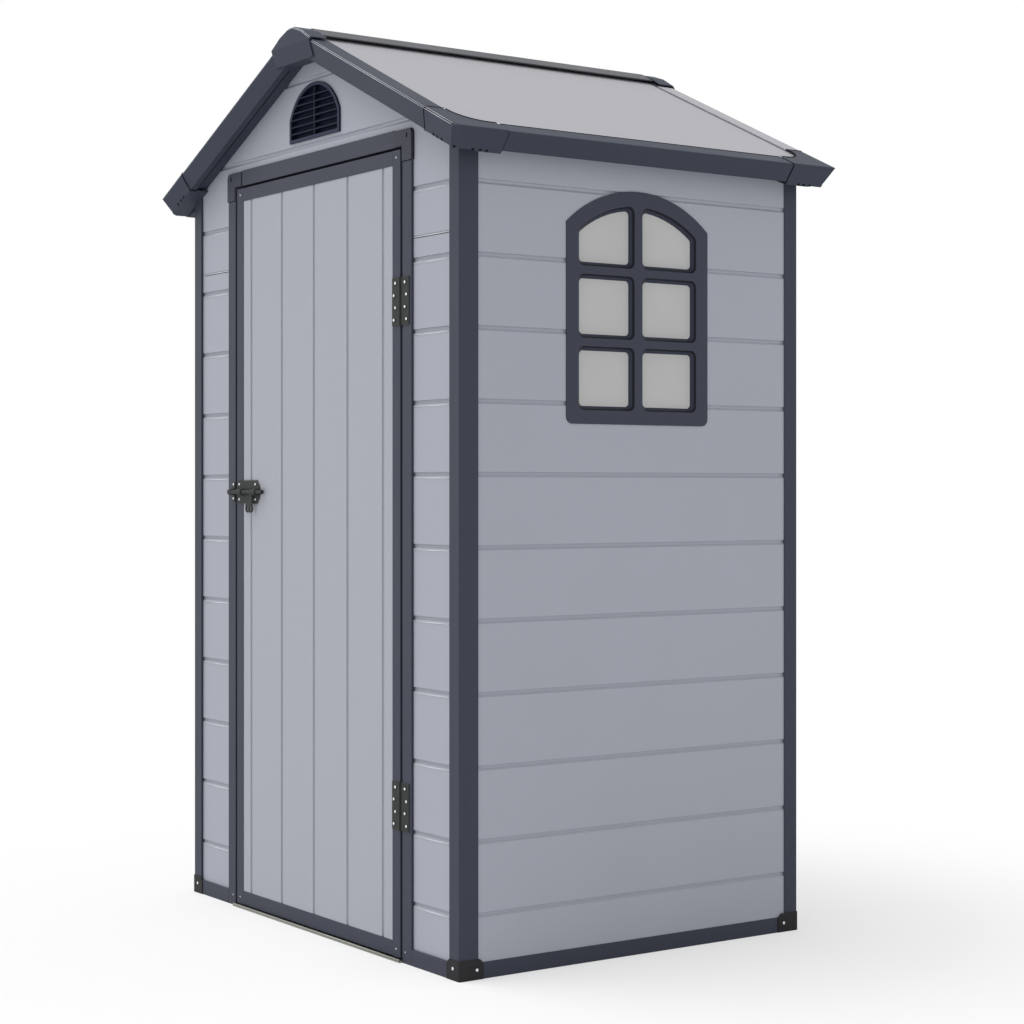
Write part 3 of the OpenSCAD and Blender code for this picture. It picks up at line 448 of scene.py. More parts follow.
@dataclass(frozen=True)
class PaintedSteel(Finish):
    """Steel fittings under black-brown powder coating.

    The eye gets a fine orange-peel skin, drawn coarser than its real 0.5 mm so that it shows,
    and slightly rubbed, paler edges.
    """

    rubbed_colour: str = "#6d6e6c"
    peel_mm: float = 1.3
    edge_mm: float = 0.7

    def pattern(self, tree: Tree, shader: Node, place: Socket) -> None:
        """Adds the orange peel, and the rubbed colour where the rounded normal leaves the face."""
        edge = add_node(tree, "ShaderNodeBevel", {"Radius": self.edge_mm * MM}, samples=4)
        flat = add_node(tree, "ShaderNodeNewGeometry")
        facing = add_node(tree, "ShaderNodeVectorMath", {
            0: edge.outputs[0], 1: flat.outputs["Normal"]}, operation="DOT_PRODUCT")
        worn = add_node(tree, "ShaderNodeMapRange", {
            "Value": facing.outputs["Value"], "From Min": 0.82, "From Max": 0.97,
            "To Min": 0.5, "To Max": 0.0})
        peel = add_node(tree, "ShaderNodeTexNoise", {
            "Vector": place, "Scale": 1 / (self.peel_mm * MM), "Detail": 1.0})
        bump = add_node(tree, "ShaderNodeBump", {
            "Strength": 0.4, "Distance": 0.05 * MM, "Height": peel.outputs[0], "Normal": edge.outputs[0]})
        tree.links.new(bump.outputs[0], shader.inputs["Normal"])
        self.tint(tree, shader, worn.outputs[0], self.rubbed_colour)


@dataclass(frozen=True)
class HingeSteel(PaintedSteel):
    """Painted hinge leaves.

    The eye gets the coating, and a black painted shadow line down the knuckles' front, where the gap
    between the leaves lies in shade.
    """

    axis_x: float = 375.5
    line_half: float = 2.6
    shadow_line_colour: str = "#050606"

    def pattern(self, tree: Tree, shader: Node, place: Socket) -> None:
        """Adds the painted shadow line where a point lies near the hinge's axis, seen from the front."""
        super().pattern(tree, shader, place)
        across = add_node(tree, "ShaderNodeSeparateXYZ", {0: place})
        near = add_node(tree, "ShaderNodeMath", {
            0: across.outputs["X"], 1: self.axis_x * MM, 2: self.line_half * MM}, operation="COMPARE")
        # Painted shadow: a black line near the hinge's axis.
        self.tint(tree, shader, near.outputs[0], self.shadow_line_colour)


@dataclass(frozen=True)
class BrightMetal(Finish):
    """Zinc-plated steel or mill aluminium.

    The eye gets a bright mirror broken up by drawn lines or faint spangle. Real drawn lines,
    about 0.1 mm apart, are drawn coarser so that they show.
    """

    lines: Grain = Grain.NONE
    lines_mm: float = 1.5

    def pattern(self, tree: Tree, shader: Node, place: Socket) -> None:
        """Adds the lines as shifts in gloss and a shallow bump."""
        shader.inputs["Metallic"].default_value = 1.0
        stretched = add_node(tree, "ShaderNodeMapping", {"Vector": place, "Scale": self.lines.value})
        line = add_node(tree, "ShaderNodeTexNoise", {
            "Vector": stretched.outputs[0], "Scale": 1 / (self.lines_mm * MM), "Detail": 3.0})
        self.vary_gloss(tree, shader, line.outputs[0], 0.08, 0.1)
        bump = add_node(tree, "ShaderNodeBump", {
            "Strength": 0.25, "Distance": 0.03 * MM, "Height": line.outputs[0]})
        tree.links.new(bump.outputs[0], shader.inputs["Normal"])


@dataclass(frozen=True)
class FrostedSheet(Finish):
    """Frosted polycarbonate glazing.

    The eye gets a milky, even sheet with a soft gloss, which lets a little light through.
    """

    transmission: float = 0.15
    haze_mm: float = 160.0

    def pattern(self, tree: Tree, shader: Node, place: Socket) -> None:
        """Adds a slow haze in tone and the transmission."""
        shader.inputs["Transmission Weight"].default_value = self.transmission
        haze = add_node(tree, "ShaderNodeTexNoise", {
            "Vector": place, "Scale": 1 / (self.haze_mm * MM), "Detail": 2.0})
        self.vary_tone(tree, shader, haze.outputs[0], 0.03)


@dataclass(frozen=True)
class Rubber(Finish):
    """Black rubber, dark joints, and painted shade in gaps.

    The eye gets a matt black with a dusty bloom.
    """

    bloom_mm: float = 4.0

    def pattern(self, tree: Tree, shader: Node, place: Socket) -> None:
        """Adds the bloom as patches of rougher surface."""
        bloom = add_node(tree, "ShaderNodeTexNoise", {
            "Vector": place, "Scale": 1 / (self.bloom_mm * MM), "Detail": 2.0})
        self.vary_gloss(tree, shader, bloom.outputs[0], 0.1, 0.1)


WALL = MouldedPlastic("polypropylene_wall_board", "#a5a8b3", 0.6, 0.3, tone_share=0.02)
ROOF = MouldedPlastic("polypropylene_roof_sheet", "#a3a3a9", 0.55, 0.35, tone_share=0.015)
DOOR_BOARD = MouldedPlastic("polypropylene_door_board", "#a5a8b1", 0.6, 0.3, tone_share=0.015,
                            lines=Grain.ALONG_Z)
FRAME_UP, FRAME_X, FRAME_Y = (
    MouldedPlastic(f"pvc_profile_{way}", "#3b3f4c", 0.55, 0.2, lines=lines)
    for way, lines in (("upright", Grain.ALONG_Z), ("along_x", Grain.ALONG_X), ("along_y", Grain.ALONG_Y)))
ELBOW = MouldedPlastic("moulded_corner_elbow", "#373a46", 0.55, 0.2)
TRIM = MouldedPlastic("moulded_roof_trim", "#3a3f4c", 0.55, 0.12)
TRIM_Y = MouldedPlastic("extruded_eave_trim", "#3a3f4c", 0.55, 0.12, lines=Grain.ALONG_Y)
RIDGE = MouldedPlastic("extruded_ridge_strip", "#4b4d52", 0.5, 0.25, lines=Grain.ALONG_Y)
# Pale beads whose colour is a painted highlight along lips and grooves.
PAINTED_HIGHLIGHT_LIP = MouldedPlastic("painted_highlight_lip", "#cfd1d7", 0.25, 0.5)
# A dark sheet behind the vent's slats as painted shade, and the dark line of the gable joint.
VENT_SHADE_AND_JOINT_LINE = MouldedPlastic("vent_shade_sheet_and_joint_line", "#10162a", 0.6, 0.05)
# The window's reveals get painted shade by depth.
WINDOW = RecessedPlastic("moulded_window_frame", "#3b3f4c", 0.55, 0.2)
# The vent's slats behind its face get painted shade by depth; the face keeps its own colour.
VENT = RecessedPlastic("moulded_gable_vent", "#343a4c", 0.6, 0.1, outwards=(0.0, -1.0, 0.0),
                       face=457.1, side_shade_colour="#151929", arris=2.0)
BRACKET = MouldedPlastic("moulded_base_bracket", "#2b2b2d", 0.6, 0.15)
FLOOR = MouldedPlastic("moulded_floor_plate", "#8f9195", 0.6, 0.35, stipple_mm=4.0, stipple_depth=0.2)
FITTING = PaintedSteel("powder_coated_fitting", "#2f3231", 0.6, 0.2)
# The hinge finish carries a painted shadow line down the knuckles.
HINGE = HingeSteel("powder_coated_hinge_with_painted_shadow", "#2f3231", 0.6, 0.2)
# Black coating on the keeper; on the hinge pins the black is painted shade of the knuckles' gap.
BLACK_FITTING_AND_PIN_SHADE = PaintedSteel("black_coated_hoop_and_pin_shade", "#191a1a", 0.5, 0.3, rubbed_colour="#4c4d4c")
ZINC = BrightMetal("zinc_plated_screw", "#e4e6e8", 0.3)
SILL = BrightMetal("mill_aluminium_sill", "#979892", 0.6, lines=Grain.ALONG_X)
PANE = FrostedSheet("frosted_polycarbonate_pane", "#c6c6c6", 0.4)
# Black rubber and dark joints; on the trims' beads the black is painted shade in gaps.
SEAL_AND_SHADE = Rubber("black_rubber_seal_and_gap_shade", "#08090b", 0.8, 0.1)


# ---- Small fixings ----

FRONT = basis(OUT)


@dataclass(frozen=True)
class ScrewHead:
    """A pan head with a cross recess, standing on a surface."""

    radius: float
    height: float
    rim: float = 0.35
    recess: float = 0.6
    slot_half: float = 0.2
    slot_reach: float = 0.55
    spokes: int = 16

    def shape(self) -> Surface:
        """Turns the head about the origin and sinks a cross into it.

        At a share q of the radius the crown stands at height * (rim + (1 - rim) * sqrt(1 - q ** 2)).
        The cross deepens towards its two middle lines, as far out as slot_reach.

        Returns:
            The closed head, its foot at z = 0.
        """
        share = np.array([1.0, 1.0, 0.92, 0.75, 0.5, 0.3, 0.14])
        crown = self.height * (self.rim + (1 - self.rim) * np.sqrt(1 - share ** 2))
        crown[0] = 0.0
        turned = lathe(np.stack([share * self.radius, crown], 1), self.spokes)
        x, y, _ = turned.points.T / self.radius
        cross = np.clip(1 - np.minimum(abs(x), abs(y)) / self.slot_half, 0, 1)
        turned.points[:, 2] -= self.recess * cross * (np.hypot(x, y) < self.slot_reach)
        return turned


@dataclass(frozen=True)
class Plug:
    """A low plug, or a screw's seat, with a bevelled rim."""

    radius: float
    shoulder: float
    top_radius: float
    top: float
    foot: float = 0.0
    spokes: int = 12

    def shape(self) -> Surface:
        """The plug about the origin, from its foot past its shoulder to its top."""
        rim = [(self.radius, self.foot), (self.radius, self.shoulder), (self.top_radius, self.top)]
        return lathe(rim, self.spokes)


@dataclass(frozen=True)
class Fixings:
    """Screws of one kind, each in a dark seat."""

    head: ScrewHead
    seat_rim: float = 1.1
    seat_bevel: float = 0.4
    seat_shoulder: float = 0.18
    seat_height: float = 0.3

    def build(self, name: str, places: Points, axes: Array, body: str, slot: str) -> None:
        """Sets the screws at their places.

        Args:
            name: Name of the pieces.
            places: Middle of each screw on its surface.
            axes: Frame of the screws, Z outwards, or one frame for each.
            body: The body that they ride on.
            slot: Not used.
        """
        wide = self.head.radius + self.seat_rim
        seat = Plug(wide, self.seat_shoulder, wide - self.seat_bevel, self.seat_height,
                    spokes=self.head.spokes)
        make_piece(name, repeat(self.head.shape(), places, axes), ZINC, body)
        make_piece(name + "_seats", repeat(seat.shape(), places, axes), SEAL_AND_SHADE, body)


# ---- The shed ----

@dataclass(frozen=True)
class Shell:
    """Base, posts and walls."""

    half_w: float = 600.0
    half_d: float = 458.0
    wall_y: float = 452.5
    first_joint: float = 135.0
    board_pitch: float = 150.0
    board_joints: int = 11
    groove_h: float = 11.0
    gable_joint: float = 1525.6
    strip_x: tuple[float, float] = (417.0, 553.5)
    lip_r: float = 1.2
    seam_r: float = 0.6
    bracket_t: float = 2.0
    front_screw: tuple[float, float] = (578.0, 24.0)
    side_screw: tuple[float, float] = (416.6, 20.0)

    def build(self) -> None:
        """Dresses the shell and adds the boards' lips, pale as painted highlights, and the base brackets'
        screws.
        """
        dress(FRAME_UP, "post_front_left", "post_front_right", "post_back_left", "post_back_right")
        dress(FRAME_X, "rail_front_left", "rail_front_right", "rail_back")
        dress(FRAME_Y, "rail_left", "rail_right")
        dress(WALL, "front_wall_left", "front_wall_right", "front_gable", "left_wall", "right_wall",
              "back_wall", "back_gable")
        dress(FLOOR, "floor")
        dress(BRACKET, "base_brackets")
        self.board_lip_highlights()
        self.bracket_screws()

    def board_lip_highlights(self) -> None:
        """Pale lips below the front strips' grooves, and one over a dark line at the gable; their pale
        colour is a painted highlight.
        """
        joints = self.first_joint + self.board_pitch * np.arange(self.board_joints)
        lip_highlights = [*(joints - self.groove_h - self.lip_r), self.gable_joint + self.seam_r + self.lip_r]
        # Painted highlight: the lips' pale colour.
        self.strip_lines("board_lip_highlights", PAINTED_HIGHLIGHT_LIP, self.lip_r, lip_highlights)
        self.strip_lines("gable_joint_lines", VENT_SHADE_AND_JOINT_LINE, self.seam_r, [self.gable_joint])

    def strip_lines(self, name: str, finish: Finish, radius: float, heights: Sequence[float]) -> None:
        """Lays level half-rounds across both front strips.

        Args:
            name: Name of the piece.
            finish: Its finish.
            radius: Radius of the half-rounds.
            heights: Height of each pair.
        """
        line = bead([(x, -self.wall_y, 0.0) for x in self.strip_x], OUT, UP, radius)
        lines = repeat(line, [(0.0, 0.0, z) for z in heights], np.eye(3))
        make_piece(name, mirrored(lines, 0), finish, "root")

    def bracket_screws(self) -> None:
        """One screw on each face of each base bracket."""
        out_x, out_y = self.half_w + self.bracket_t, self.half_d + self.bracket_t
        (front_x, front_z), (side_y, side_z) = self.front_screw, self.side_screw
        corners = [(i, j) for i in (-1, 1) for j in (-1, 1)]
        places = [(i * front_x, j * out_y, front_z) for i, j in corners]
        places += [(i * out_x, j * side_y, side_z) for i, j in corners]
        normals = [(0, j, 0) for _, j in corners] + [(i, 0, 0) for i, _ in corners]
        axes = np.stack([basis(n) for n in normals])
        Fixings(ScrewHead(3.6, 1.4)).build("base_bracket_screws", places, axes, "root", "dark_fittings")


@dataclass(frozen=True)
class Doorway:
    """Jambs, header, elbows, stops and threshold."""

    half_d: float = 458.0
    wall_y: float = 452.5
    jamb_x: float = 379.5
    jamb_out: float = 416.5
    header_top: float = 1760.5
    elbow_x: float = 70.0
    elbow_z: float = 66.5
    elbow_drop: float = 2.0
    elbow_rim: float = 1.5
    elbow_t: float = 1.8
    elbow_r: float = 12.0
    end_gap: float = 1.0
    seam_r: float = 0.7
    seam_drops: tuple[float, float] = (34.0, 0.5)
    rim_gap: float = 0.8
    rim_r: float = 12.3
    rim_rise: float = 1.6
    pin: tuple[float, float] = (392.0, 24.0)
    plug_in: float = 17.0
    plug_drops: tuple[float, float] = (11.0, 15.8)
    nose_y: float = 463.6
    nose_z: float = 4.7
    nose_r: float = 2.5

    @property
    def elbow_top(self) -> float:
        """Height of the elbows' upper edge."""
        return self.header_top - self.elbow_drop

    def build(self) -> None:
        """Dresses the doorway and adds seams, screws and the threshold's nose."""
        dress(FRAME_UP, "jamb_left", "jamb_right")
        dress(FRAME_X, "door_header")
        dress(ELBOW, "header_elbows")
        dress(SEAL_AND_SHADE, "door_stops")
        dress(SILL, "threshold")
        self.elbow_seams()
        self.screws()
        self.threshold_nose()

    def elbow_seams(self) -> None:
        """Dark seams where the elbows end on the jambs and the header, and around their rims."""
        right, top = self.jamb_out + self.elbow_rim, self.elbow_top
        foot, end = top - self.elbow_z, right - self.elbow_x
        ends = (self.jamb_x + self.end_gap, self.jamb_out - self.end_gap)
        cross = bead([(x, -self.half_d, foot - self.seam_r) for x in ends], OUT, UP, self.seam_r)
        up = bead([(end - self.seam_r, -self.half_d, top - drop) for drop in self.seam_drops], OUT, ACROSS,
                  self.seam_r)
        side, crown = right + self.rim_gap, top + self.rim_gap
        low, high = (side, top - self.elbow_r), (right - self.elbow_r, crown)
        rim = np.array([(side, foot), *fillet(low, (side, crown), high, self.rim_r, steps=6), (end, crown)])
        around = bead(at_y(rim, -self.wall_y), OUT, at_y(path_normals(rim), 0.0), self.rim_gap,
                      self.rim_rise)
        make_piece("elbow_seams", mirrored(join([cross, up, around]), 0), SEAL_AND_SHADE, "root")

    def screws(self) -> None:
        """A pin low on each jamb and two dark plugs on each elbow."""
        x, z = self.pin
        pins = [(side * x, -self.half_d, z) for side in (-1, 1)]
        Fixings(ScrewHead(1.8, 0.8), 0.5).build("jamb_pins", pins, FRONT, "root", "dark_frame")
        x, y = self.jamb_out - self.plug_in, -self.half_d - self.elbow_t
        places = [(side * x, y, self.elbow_top - drop) for side in (-1, 1) for drop in self.plug_drops]
        plugs = repeat(Plug(2.6, 0.35, 1.82, 0.7, spokes=14).shape(), places, FRONT)
        make_piece("elbow_screws", plugs, SEAL_AND_SHADE, "root")

    def threshold_nose(self) -> None:
        """A half-round along the threshold's front, just below the door."""
        end = self.jamb_x - self.end_gap
        nose = bead([(x, -self.nose_y, self.nose_z) for x in (-end, end)], OUT, UP, self.nose_r)
        make_piece("threshold_nose", nose, SILL, "root")


@dataclass(frozen=True)
class Door:
    """The door leaf with its hinges and padbolt.

    The hinges' screws stand a hair behind their leaves' faces.
    """

    leaf_y: float = -458.0
    pin_x: float = 355.0
    pin_z: tuple[float, float] = (25.0, 1703.0)
    hinge_x: float = 375.5
    hinge_y: float = -460.999
    hinge_z: tuple[float, float] = (329.5, 1397.0)
    hinge_screw_x: tuple[float, float] = (19.0, 25.0)
    hinge_screw_z: tuple[float, ...] = (39.0, 13.0, -13.0, -39.0)
    plate_y: float = -460.0
    plate_screw_x: tuple[float, float] = (-356.0, -275.0)
    plate_screw_z: tuple[float, float] = (1011.0, 975.5)
    keeper_screw_x: float = -386.5
    keeper_screw_z: tuple[float, float] = (1011.0, 978.0)

    def build(self) -> None:
        """Dresses the leaf, the hinges and the padbolt, and sets their screws."""
        dress(DOOR_BOARD, "door_panel")
        dress(FRAME_UP, "door_stiles")
        dress(FRAME_X, "door_rails")
        # The hinge leaves carry a painted shadow line down their knuckles.
        dress(HINGE, "hinge_frame_leaves", "hinge_door_leaves")
        dress(FITTING, "bolt_plate", "bolt")
        # On the hinge pins the black is painted shade of the gap at the knuckles.
        dress(BLACK_FITTING_AND_PIN_SHADE, "keeper", "hinge_pins")
        self.hinge_screws()
        self.bolt_screws()
        pins = [(side * self.pin_x, self.leaf_y, z) for side in (-1, 1) for z in self.pin_z]
        Fixings(ScrewHead(2.0, 0.8), 0.5).build("leaf_corner_pins", pins, FRONT, "door", "dark_frame")

    def hinge_screws(self) -> None:
        """Four staggered screws on each hinge leaf."""
        fixings = Fixings(ScrewHead(3.2, 1.2), 0.8)
        for name, side, body in (("frame", 1, "root"), ("door", -1, "door")):
            places = [(self.hinge_x + side * self.hinge_screw_x[k % 2], self.hinge_y, z + rise)
                      for z in self.hinge_z for k, rise in enumerate(self.hinge_screw_z)]
            fixings.build(f"hinge_{name}_screws", places, FRONT, body, "dark_fittings")

    def bolt_screws(self) -> None:
        """Screws of the padbolt's plate and of its keeper."""
        plate = [(x, self.plate_y, z) for x in self.plate_screw_x for z in self.plate_screw_z]
        keeper = [(self.keeper_screw_x, self.plate_y, z) for z in self.keeper_screw_z]
        fixings = Fixings(ScrewHead(3.0, 1.2), 0.7)
        fixings.build("bolt_plate_screws", plate, FRONT, "door", "dark_fittings")
        fixings.build("keeper_screws", keeper, FRONT, "root", "dark_fittings")


@dataclass(frozen=True)
class Openings:
    """The window and the gable vent."""

    vent_half: float = 106.2
    vent_low: float = 1799.0
    vent_spring: float = 1844.0
    vent_rise: float = 68.6
    shade_backing_y: tuple[float, float] = (-446.4, -445.4)
    rib_y: float = -455.5
    rib_r: float = 1.4

    def build(self) -> None:
        """Dresses the window and the vent, and closes the vent behind its slats with a dark sheet as
        painted shade.
        """
        dress(WINDOW, "window_frame")
        dress(PANE, "window_glazing")
        dress(VENT, "gable_vent")
        self.vent_shade_backing()

    def vent_shade_backing(self) -> None:
        """An arched dark sheet, painted shade for the inside seen through the slats, with a flat foot and
        half an ellipse above its sides, and an upright rib.
        """
        t = np.linspace(0, math.pi, 33)
        arch = np.stack([self.vent_half * np.cos(t), self.vent_spring + self.vent_rise * np.sin(t)], 1)
        edge = np.array([(-self.vent_half, self.vent_low), (self.vent_half, self.vent_low), *arch])
        faces = np.concatenate([at_y(edge, y) for y in self.shade_backing_y])
        sheet = Surface(faces, tube_faces(2, len(edge)))
        # Painted shade: the dark sheet stands for the inside seen through the slats.
        make_piece("vent_shade_backing", sheet, VENT_SHADE_AND_JOINT_LINE, "root", smooth=False)
        ends = (self.vent_low, self.vent_spring + self.vent_rise)
        rib = bead([(0.0, self.rib_y, z) for z in ends], OUT, ACROSS, self.rib_r)
        make_piece("vent_upright_rib", rib, TRIM, "root")


@dataclass(frozen=True)
class Roof:
    """Roof sheets and their trims, with seams, lips, plugs and screws; the lips are pale as painted
    highlights, black beads are painted shadow lines and a pale strip is a painted reflection.

    On the right slope, s runs down from the ridge, y along it and n square to it.
    """

    pitch: float = 24.84
    eave_z: float = 1722.0
    roof_half: float = 673.0
    wall_x: float = 598.3
    verge_y: float = 516.0
    verge_flange: float = 50.0
    verge_h: float = 47.0
    verge_lean: float = 16.0
    verge_r: float = 6.0
    verge_lip: float = 16.0
    eave_flange: float = 48.0
    eave_r: float = 5.0
    fascia_h: float = 36.0
    fascia_lean: float = 28.0
    soffit_rise: float = 12.0
    corner_x: float = 117.0
    corner_y: float = 130.0
    cap_proud: float = 1.5
    fillet_r: float = 66.0
    ridge_half: float = 85.5
    ridge_face: float = 3.3
    ridge_bevel: tuple[float, float] = (5.5, 6.0)
    ridge_crown: float = 12.0
    ridge_edge: tuple[Vec, ...] = ((85.5, 6.6), (48.0, 10.7), (12.0, 0.8))
    seam_r: float = 1.1
    bead_r: float = 1.6
    lip_r: float = 0.6
    lip_turn: float = 0.27
    lip_gap: float = 2.0
    lip_end: float = 16.0
    ridge_lip_step: float = 1.7
    front_plug_x: tuple[float, ...] = (590.0, 604.0, 620.0)
    front_plug_drop: float = 45.5
    side_plug_y: tuple[float, ...] = (455.5, 437.5, 422.0)
    side_plug_drop: float = 38.0
    corner_plug: Vec = (638.3, 496.2, 1686.0)
    corner_plug_out: Vec = (0.464, 0.628, -0.625)
    screw_x: tuple[float, float] = (560.0, 630.0)
    screw_y: tuple[float, float] = (468.0, 383.0)

    @property
    def slope(self) -> float:
        """Fall of the roof for each step outwards."""
        return math.tan(math.radians(self.pitch))

    @property
    def ridge_z(self) -> float:
        """Height where the roof's two top surfaces meet."""
        return self.eave_z + self.roof_half * self.slope

    @property
    def flange_y(self) -> float:
        """The verges' inner edge."""
        return self.verge_y - self.verge_flange

    @property
    def ridge_s(self) -> float:
        """How far down the slope the ridge caps end."""
        return self.down(self.ridge_half)

    @property
    def corner_s(self) -> float:
        """How far down the slope the corner caps begin."""
        return self.down(self.roof_half - self.corner_x)

    def down(self, x: float | Array) -> float | Array:
        """Distance down the slope to places x from the middle."""
        return x / math.cos(math.radians(self.pitch))

    def on_slope(self, s: float | Array, y: float | Array, n: float | Array) -> Array:
        """Points of the right slope in x, y and z."""
        c, d = math.cos(math.radians(self.pitch)), math.sin(math.radians(self.pitch))
        s, y, n = np.broadcast_arrays(s, y, n)
        return np.stack([s * c + n * d, y, self.ridge_z - s * d + n * c], -1)

    def way(self, step: Vec | Array) -> Array:
        """Directions in x, y and z, from their s, y and n."""
        return self.on_slope(*np.asarray(step, float).T) - self.on_slope(0.0, 0.0, 0.0)

    def slope_bead(self, s: float | Array, y: float | Array, n: float | Array, outward: Vec | Array,
                   along: Vec | Array, radius: float) -> Surface:
        """A half-round on the right slope.

        Args:
            s: Distance of its points down the slope.
            y: Their y.
            n: Their height square to the slope.
            outward: Outward direction, or one for each point, as s, y and n.
            along: Direction across the half-round on the surface, as s, y and n.
            radius: Radius of the half-round.

        Returns:
            The bead.
        """
        return bead(self.on_slope(s, y, n), self.way(outward), self.way(along), radius)

    def build(self) -> None:
        """Dresses the roof and adds its small parts."""
        dress(ROOF, "roof_panel_left", "roof_panel_right")
        dress(TRIM, "verges_front", "verges_back", "roof_corners", "ridge_caps")
        dress(TRIM_Y, "eaves")
        dress(RIDGE, "ridge_strip")
        self.seams()
        self.lip_highlights()
        self.ridge_lip_highlights()
        self.shade_line_beads()
        self.back_verge_reflection()
        self.plugs()
        self.screws()

    def verge_corners(self) -> tuple[Vec, Vec, Vec]:
        """A verge's inner edge, upper edge and foot, in y and n."""
        return (self.flange_y, 0.0), (self.verge_y, 0.0), (self.verge_y - self.verge_lean, -self.verge_h)

    def verge_outline(self) -> Array:
        """Outer outline of a verge, in y and n: flange, rounded edge, face and lip."""
        start, edge, low = self.verge_corners()
        lip = (low[0] - self.verge_lip, low[1])
        return np.array([start, *fillet(start, edge, low, self.verge_r), low, lip])

    def eave_outline(self) -> Array:
        """Outer outline of an eave, in x and z: flange, rounded edge, fascia and soffit."""
        start = (self.roof_half - self.eave_flange, self.eave_z + self.eave_flange * self.slope)
        edge = (self.roof_half, self.eave_z)
        low = (self.roof_half - self.fascia_lean, self.eave_z - self.fascia_h)
        soffit = (self.wall_x, low[1] + self.soffit_rise)
        return np.array([start, *fillet(start, edge, low, self.eave_r), low, soffit])

    def seams(self) -> None:
        """Dark seams where the verges and the eaves run under the corner caps."""
        outline = self.verge_outline()
        outward = np.insert(path_normals(outline), 0, 0.0, axis=1)
        y, n = offset_path(outline, self.cap_proud).T
        verge = self.slope_bead(self.corner_s + self.seam_r, y, n, outward, ACROSS, self.seam_r)
        outline = self.eave_outline()
        path = at_y(outline, self.verge_y - self.corner_y - self.seam_r)
        eave = bead(path, at_y(path_normals(outline), 0.0), ALONG, self.seam_r)
        make_piece("cap_seams", mirrored(join([verge, eave]), 0, 1), SEAL_AND_SHADE, "root")

    def lip_highlights(self) -> None:
        """Two fine pale lips beside the groove on the rounded edge of verges and corner caps; their pale
        colour is a painted highlight.
        """
        arc = fillet(*self.verge_corners(), self.verge_r, steps=2)
        across = unit(arc[2] - arc[0])
        out = np.array([-across[1], across[0]])
        middle = arc[1] - out * self.verge_r
        runs = ((0.0, self.ridge_s + self.lip_gap, self.corner_s),
                (self.cap_proud, self.corner_s, self.down(self.roof_half - self.lip_end)))
        shapes = []
        for proud, start, end in runs:
            for turn in (-self.lip_turn, self.lip_turn):
                way = out * math.cos(turn) + across * math.sin(turn)
                y, n = middle + way * (self.verge_r + proud)
                shapes.append(self.slope_bead(np.array([start, end]), y, n, (0.0, *way),
                                              (0.0, -way[1], way[0]), self.lip_r))
        # Painted highlight: the lips' pale colour.
        make_piece("verge_lip_highlights", mirrored(join(shapes), 0, 1), PAINTED_HIGHLIGHT_LIP, "root")

    def ridge_lip_highlights(self) -> None:
        """The same two pale lips along the bevel on each ridge cap's front edge, as painted highlights.

        The edge stands a given height over the roof's slopes, and over a level line at the crown.
        """
        half, lift = np.array(self.ridge_edge).T
        x, lift = np.concatenate([-half, half[::-1]]), np.concatenate([lift, lift[::-1]])
        top = self.ridge_z - self.slope * np.where(abs(x) > self.ridge_crown, abs(x), 0.0) + lift
        rise, depth = self.ridge_bevel
        slant, out = unit((0.0, depth, -rise)), unit((0.0, rise, depth))
        upper = at_y(np.stack([x, top], 1), self.verge_y + self.ridge_face - depth)
        middle = upper + slant * math.hypot(rise, depth) / 2
        lip_highlights = [bead(middle + slant * step, out, slant, self.lip_r)
                for step in (-self.ridge_lip_step, self.ridge_lip_step)]
        # Painted highlight: the lips' pale colour.
        make_piece("ridge_cap_lip_highlights", mirrored(join(lip_highlights), 1), PAINTED_HIGHLIGHT_LIP, "root")

    def shade_line_beads(self) -> None:
        """Black beads on the inner edges of the caps' and the eaves' flanges, and on the verges' lips, as
        painted shadow lines where those edges step down.

        A corner cap's edge runs straight, turns a quarter circle and runs straight again.
        """
        flange_s = self.down(self.roof_half - self.eave_flange)
        end_y = self.verge_y - self.corner_y
        t = np.linspace(math.pi / 2, 0, 13)
        turn = np.stack([np.cos(t), np.sin(t)], 1)
        arc = np.array([flange_s, self.flange_y]) - self.fillet_r + self.fillet_r * turn
        s, y = np.array([(self.corner_s, self.flange_y), *arc, (flange_s, end_y)]).T
        across = np.insert([(0.0, 1.0), *turn, (1.0, 0.0)], 2, 0.0, axis=1)
        cap_sunk, eave_sunk, lip_sunk = 0.2, 0.1, 0.3
        cap = self.slope_bead(s, y, self.cap_proud - cap_sunk, UP, across, self.bead_r)
        eave = self.slope_bead(flange_s, np.array([-end_y, end_y]), -eave_sunk, UP, ACROSS, self.seam_r)
        inner = self.verge_y - self.verge_lean - self.verge_lip
        lip = self.slope_bead(np.array([self.ridge_s, self.corner_s]), inner, lip_sunk - self.verge_h,
                              (0.0, 0.0, -1.0), ALONG, self.seam_r)
        shape = join([mirrored(join([cap, lip]), 1), eave])
        # Painted shade: the black beads are shadow lines along the edges.
        make_piece("trim_beads", mirrored(shape, 0), SEAL_AND_SHADE, "root")

    def back_verge_reflection(self) -> None:
        """A pale strip on the flange of each back verge, between the caps, as a painted reflection in the
        roof sheets' colour.

        Its section, in y and n, folds over the flange's inner edge.
        """
        sunk, depth, thick = 0.2, 2.2, 0.5
        edge_gap, upper_gap, lower_gap = 5.0, 1.0, 2.4
        front, fold, back = self.flange_y - thick, self.flange_y + sunk, self.verge_y - edge_gap
        edge = [(front, -depth), (fold, -depth), (fold, -sunk), (back, -sunk), (back, thick),
                (front, thick)]
        y, n = np.array(edge).T
        rows = [self.on_slope(s, y, n) for s in (self.ridge_s + upper_gap, self.corner_s - lower_gap)]
        strip = Surface(np.concatenate(rows), tube_faces(2, len(edge)))
        # Painted reflection: the pale strip stands for the bright surroundings mirrored by the dark flange.
        make_piece("back_verge_painted_reflection", mirrored(strip, 0), ROOF, "root", smooth=False)

